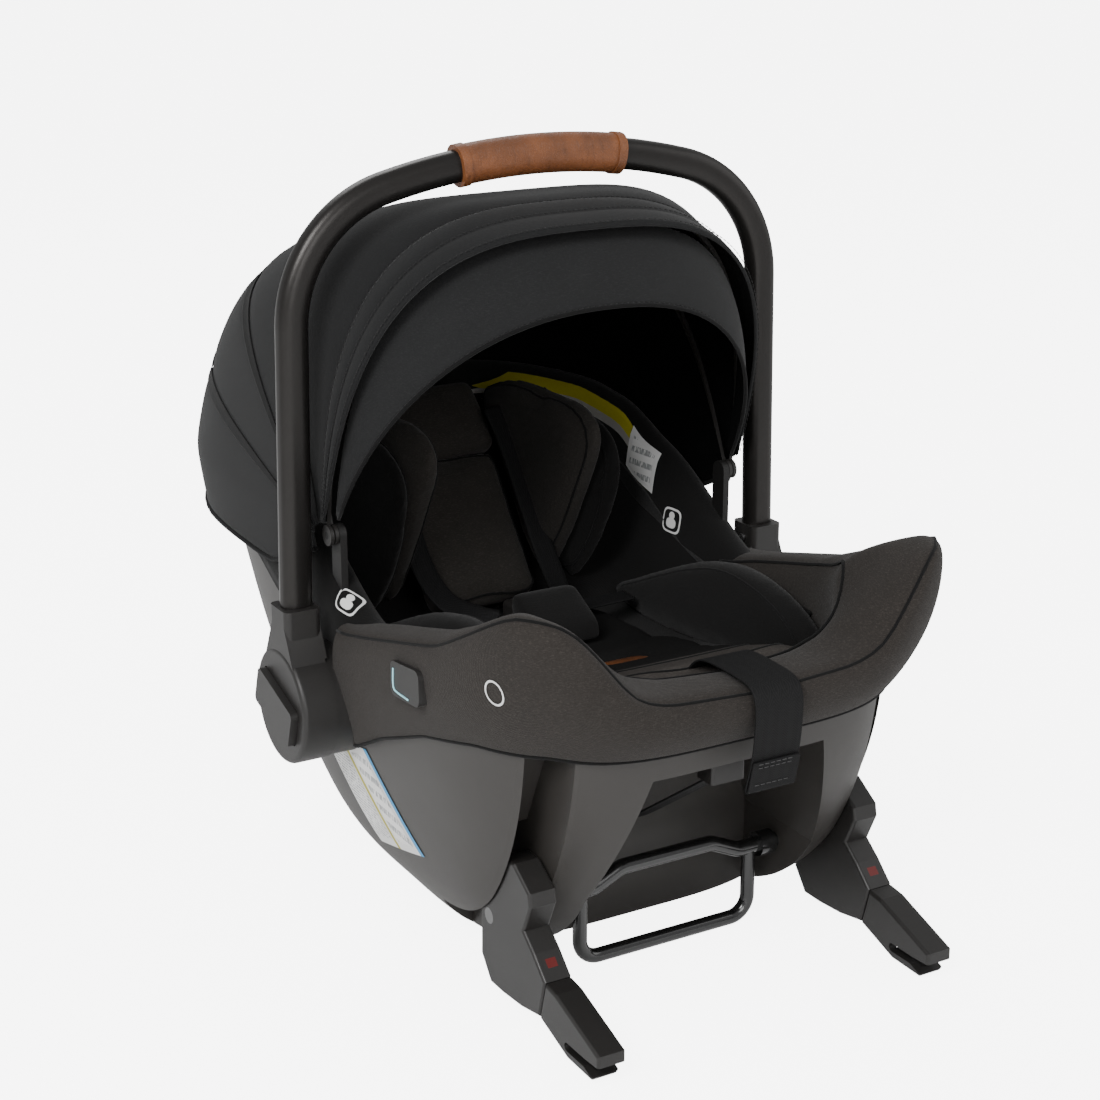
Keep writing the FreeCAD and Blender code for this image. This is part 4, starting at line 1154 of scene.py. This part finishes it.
class SEAT_OT_labels(bpy.types.Operator):
    """Generic labels, badges and printed marks, without text"""
    bl_idname = "seat.labels"
    bl_label = "Labels"

    def execute(self, context):
        self.shell_label()
        lining = surface_tree(bpy.data.objects["bucket_lining"])
        self.badge("right", lining, Vector((0.0, 0.030, 0.250)), Vector((1, 0, 0)))
        inward = Vector((0.75, 0.30, -0.58)).normalized()
        self.badge("left", lining, Vector((-0.1755, -0.0245, 0.2512)) - inward * 0.03, inward)
        self.rim_label(lining)
        self.ring()
        self.button_lines()
        self.strap_end()
        return {"FINISHED"}

    def shell_label(self):
        """Plain panels on the left side of the shell: white with grey rows, yellow line and blue border."""
        tree = surface_tree(NODES["lower_shell"])
        towards = Vector((1, 0, 0))
        top = (Vector((-0.15, 0.030, 0.122)), Vector((-0.15, -0.048, 0.141)))
        low = (Vector((-0.15, -0.040, 0.058)), Vector((-0.15, -0.128, 0.083)))
        bands = ((0.0, 0.44, "white", 0.0006), (0.44, 0.50, "yellow", 0.0006), (0.50, 0.93, "white", 0.0006),
                 (0.93, 1.0, "blue", 0.0006), (0.04, 0.40, "print_rows", 0.0009), (0.56, 0.88, "print_boxes", 0.0009))
        for index, (start, end, look, lift) in enumerate(bands):
            inset = 0.0 if lift < 0.0008 else 0.08
            corners = []
            for share, depth in ((start, inset), (end, inset), (end, 1 - inset), (start, 1 - inset)):
                corners.append(top[0].lerp(top[1], share).lerp(low[0].lerp(low[1], share), depth))
            decal("shell_label_%d" % (index + 1), look, tree, corners, towards, lift)

    def badge(self, side, tree, centre, direction):
        """Rounded frame with a plain figure in it."""
        for part, look, rise, width, height, lift, power in BADGE:
            blob("badge_%s_%s" % (part, side), look, tree, centre + Vector((0, 0, rise)), width, height, direction,
                 lift, power)

    def rim_label(self, tree):
        """Yellow and white band along the right rim, with a white block at its front end."""
        for name, look, start, end, upper, lower in (("rim_label_yellow", "yellow", 0.104, 0.262, 0.003, 0.013),
                                                     ("rim_label_white", "pale", 0.104, 0.262, 0.013, 0.020),
                                                     ("rim_label_block", "white", 0.062, 0.104, 0.002, 0.036),
                                                     ("rim_label_rows", "print_boxes", 0.067, 0.099, 0.006, 0.032)):
            lift = 0.0012 if name.endswith("rows") else 0.0008
            rows = []
            for step in range(21):
                y = start + (end - start) * step / 20
                rim = rounded_table(RIM_LINE, y, RIM_ROUNDING)
                drops = [upper + (lower - upper) * part / 5 for part in range(6)]
                rows.append([laid(tree, Vector((0, y, rim - drop)), Vector((1, 0, 0)), lift) for drop in drops])
            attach(grid(name, rows, look, levels=0), "seat")

    def ring(self):
        """Printed ring on the cover's left side."""
        tree = surface_tree(bpy.data.objects["outer_cover"])
        centre = Vector((0, -0.262, 0.262))
        direction = Vector((1, 0.35, 0)).normalized()
        rows = []
        for radius in (0.0070, 0.0084):
            row = []
            for step in range(40):
                turn = 2 * math.pi * step / 40
                place = centre + Vector((-0.18, math.cos(turn) * radius, math.sin(turn) * radius * 1.15))
                row.append(laid(tree, place, direction, 0.0007, 0.25))
            rows.append(row)
        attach(grid("cover_ring_print", rows, "white", round_columns=True, levels=0), "seat")

    def button_lines(self):
        """Light line along the rear and lower edges of each side button."""
        for side, sign in (("right", 1), ("left", -1)):
            low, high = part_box("release_button_" + side)
            face = (high.x + 0.0002) if sign > 0 else (low.x - 0.0002)
            path = [(high.y - 0.005, high.z - 0.009), (high.y - 0.0045, low.z + 0.010),
                    (high.y - 0.006, low.z + 0.0055),
                    (high.y - 0.011, low.z + 0.0045), (low.y + 0.016, low.z + 0.0045)]
            points = open_curve([Vector((face, y, z)) for y, z in path], 5)
            line = cord_mesh("button_line_" + side, points, 0.0007, "sky")
            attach(line, "release_button_" + side)

    def strap_end(self):
        """Box stitching at the folded end of the pull strap."""
        tree = surface_tree(bpy.data.objects["pull_strap_web"])
        low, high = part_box("pull_strap")
        for index, height in enumerate((0.008, 0.022, 0.025)):
            row = []
            for step in range(25):
                x = low.x + 0.003 + (high.x - low.x - 0.006) * step / 24
                row.append(laid(tree, Vector((x, low.y, low.z + height)), Vector((0, 1, 0)), 0.0002, 0.05))
            line = stitches("pull_strap_stitch_%d" % (index + 1), row, "pale_thread")
            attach(line, "seat")


# ------------------------------------------------------------------ hard parts

class SEAT_OT_finishes(bpy.types.Operator):
    """Materials of the frame's own parts"""
    bl_idname = "seat.finishes"
    bl_label = "Finishes"

    def execute(self, context):
        sides = ("_right", "_left")
        dress(["lower_shell"], "shell")
        dress(["foam_liner"], "foam")
        dress(["handle_tube"], "tube")
        dress(["handle_grip", "grip_bands"], "leather")
        dress(["cross_tube", "base_hoop"], "rod")
        dress(["hub_pins", "collar_screws", "hook_pins"], "steel")
        dress(["latch_indicators", "buckle_button"], "red")
        dress(["release_bracket"], "connector")
        dress(["buckle_body", "adjuster_housing", "adjuster_button", "canopy_front_bow", "canopy_mid_bow"], "dark")
        for side in sides:
            dress(["handle_arm" + side, "hub_base" + side, "hub_button" + side, "release_button" + side], "dark")
            dress(["canopy_mount" + side], "inner_shell")
            dress(["latch_arm" + side, "latch_connector" + side], "connector")
            dress(["harness_tongue" + side, "latch_hook" + side], "steel")
        return {"FINISHED"}


# ------------------------------------------------------------------ studio

# Name, place in metres, side in metres and power in watts
LIGHTS = (("key", (-1.9, -1.3, 2.0), 1.1, 74), ("front", (-0.6, -2.6, 1.1), 1.2, 24),
          ("fill", (2.2, -1.2, 1.4), 1.8, 14), ("back", (0.4, 2.2, 2.4), 1.6, 26))
AIM = Vector((0, 0, 0.28))
CAMERA_PLACE = Vector((-0.814, -1.421, 0.794)) + Vector((0, HUB.y, 0))
CAMERA_DIP, CAMERA_TURN = 18.1, -30.1  # degrees
CAMERA_LENS, CAMERA_SENSOR = 71.15, 36.0  # millimetres


class SEAT_OT_studio(bpy.types.Operator):
    """Pale floor, soft lights and the camera"""
    bl_idname = "seat.studio"
    bl_label = "Studio"

    def execute(self, context):
        floor = bpy.data.meshes.new("studio_floor")
        reach = 40.0
        corners = [(-reach, -reach, 0), (reach, -reach, 0), (reach, reach, 0), (-reach, reach, 0)]
        floor.from_pydata(corners, [], [(0, 1, 2, 3)])
        look = Look("floor_white")
        seen = look.node("ShaderNodeLightPath")
        glow = look.blend(seen, (0.028, 0.028, 0.028), (1.0, 1.0, 1.0))
        look.set(base_color=(0.93, 0.93, 0.93), roughness=0.65, emission_color=glow, emission_strength=6.0)
        floor.materials.append(look.material)
        plane = new_object("studio_floor", floor)
        plane.location.z = -0.0005
        world = bpy.data.worlds.new("studio")
        world.use_nodes = True
        background = world.node_tree.nodes["Background"]
        background.inputs["Color"].default_value = (1, 1, 1, 1)
        background.inputs["Strength"].default_value = 0.62
        context.scene.world = world
        for name, place, size, power in LIGHTS:
            self.light(name, place, size, power)
        self.camera(context)
        return {"FINISHED"}

    def light(self, name, place, size, power):
        data = bpy.data.lights.new(name, "AREA")
        data.size = size
        data.energy = power
        lamp = bpy.data.objects.new(name, data)
        lamp.location = place
        lamp.rotation_euler = (AIM - Vector(place)).to_track_quat("-Z", "Y").to_euler()
        bpy.context.scene.collection.objects.link(lamp)

    def camera(self, context):
        data = bpy.data.cameras.new("camera")
        data.lens = CAMERA_LENS
        data.sensor_width = CAMERA_SENSOR
        camera = bpy.data.objects.new("camera", data)
        camera.location = CAMERA_PLACE
        camera.rotation_euler = (math.radians(90 - CAMERA_DIP), 0.0, math.radians(CAMERA_TURN))
        context.scene.collection.objects.link(camera)
        context.scene.camera = camera


class SEAT_PT_panel(bpy.types.Panel):
    """Lists the makers of the seat's pieces"""
    bl_idname = "SEAT_PT_panel"
    bl_label = "Car Seat"
    bl_space_type = "VIEW_3D"
    bl_region_type = "UI"
    bl_category = "Car Seat"

    def draw(self, context):
        for operator in OPERATORS:
            self.layout.operator(operator.bl_idname)


OPERATORS = (SEAT_OT_finishes, SEAT_OT_canopy, SEAT_OT_cover, SEAT_OT_lining, SEAT_OT_straps, SEAT_OT_labels,
             SEAT_OT_studio)
SETTINGS = (("seat_canopy", CanopySettings), ("seat_cover", CoverSettings), ("seat_handle", HandleSettings),
            ("seat_shell", ShellSettings))


def register():
    for name, group in SETTINGS:
        bpy.utils.register_class(group)
        setattr(bpy.types.Scene, name, PointerProperty(type=group))
    for operator in OPERATORS:
        bpy.utils.register_class(operator)
    bpy.utils.register_class(SEAT_PT_panel)


def unregister():
    bpy.utils.unregister_class(SEAT_PT_panel)
    for operator in reversed(OPERATORS):
        bpy.utils.unregister_class(operator)
    for name, group in reversed(SETTINGS):
        delattr(bpy.types.Scene, name)
        bpy.utils.unregister_class(group)


def main():
    register()
    make_looks(bpy.context.scene)
    for operator in OPERATORS:
        group, name = operator.bl_idname.split(".")
        getattr(getattr(bpy.ops, group), name)()


if __name__ == "__main__":
    main()
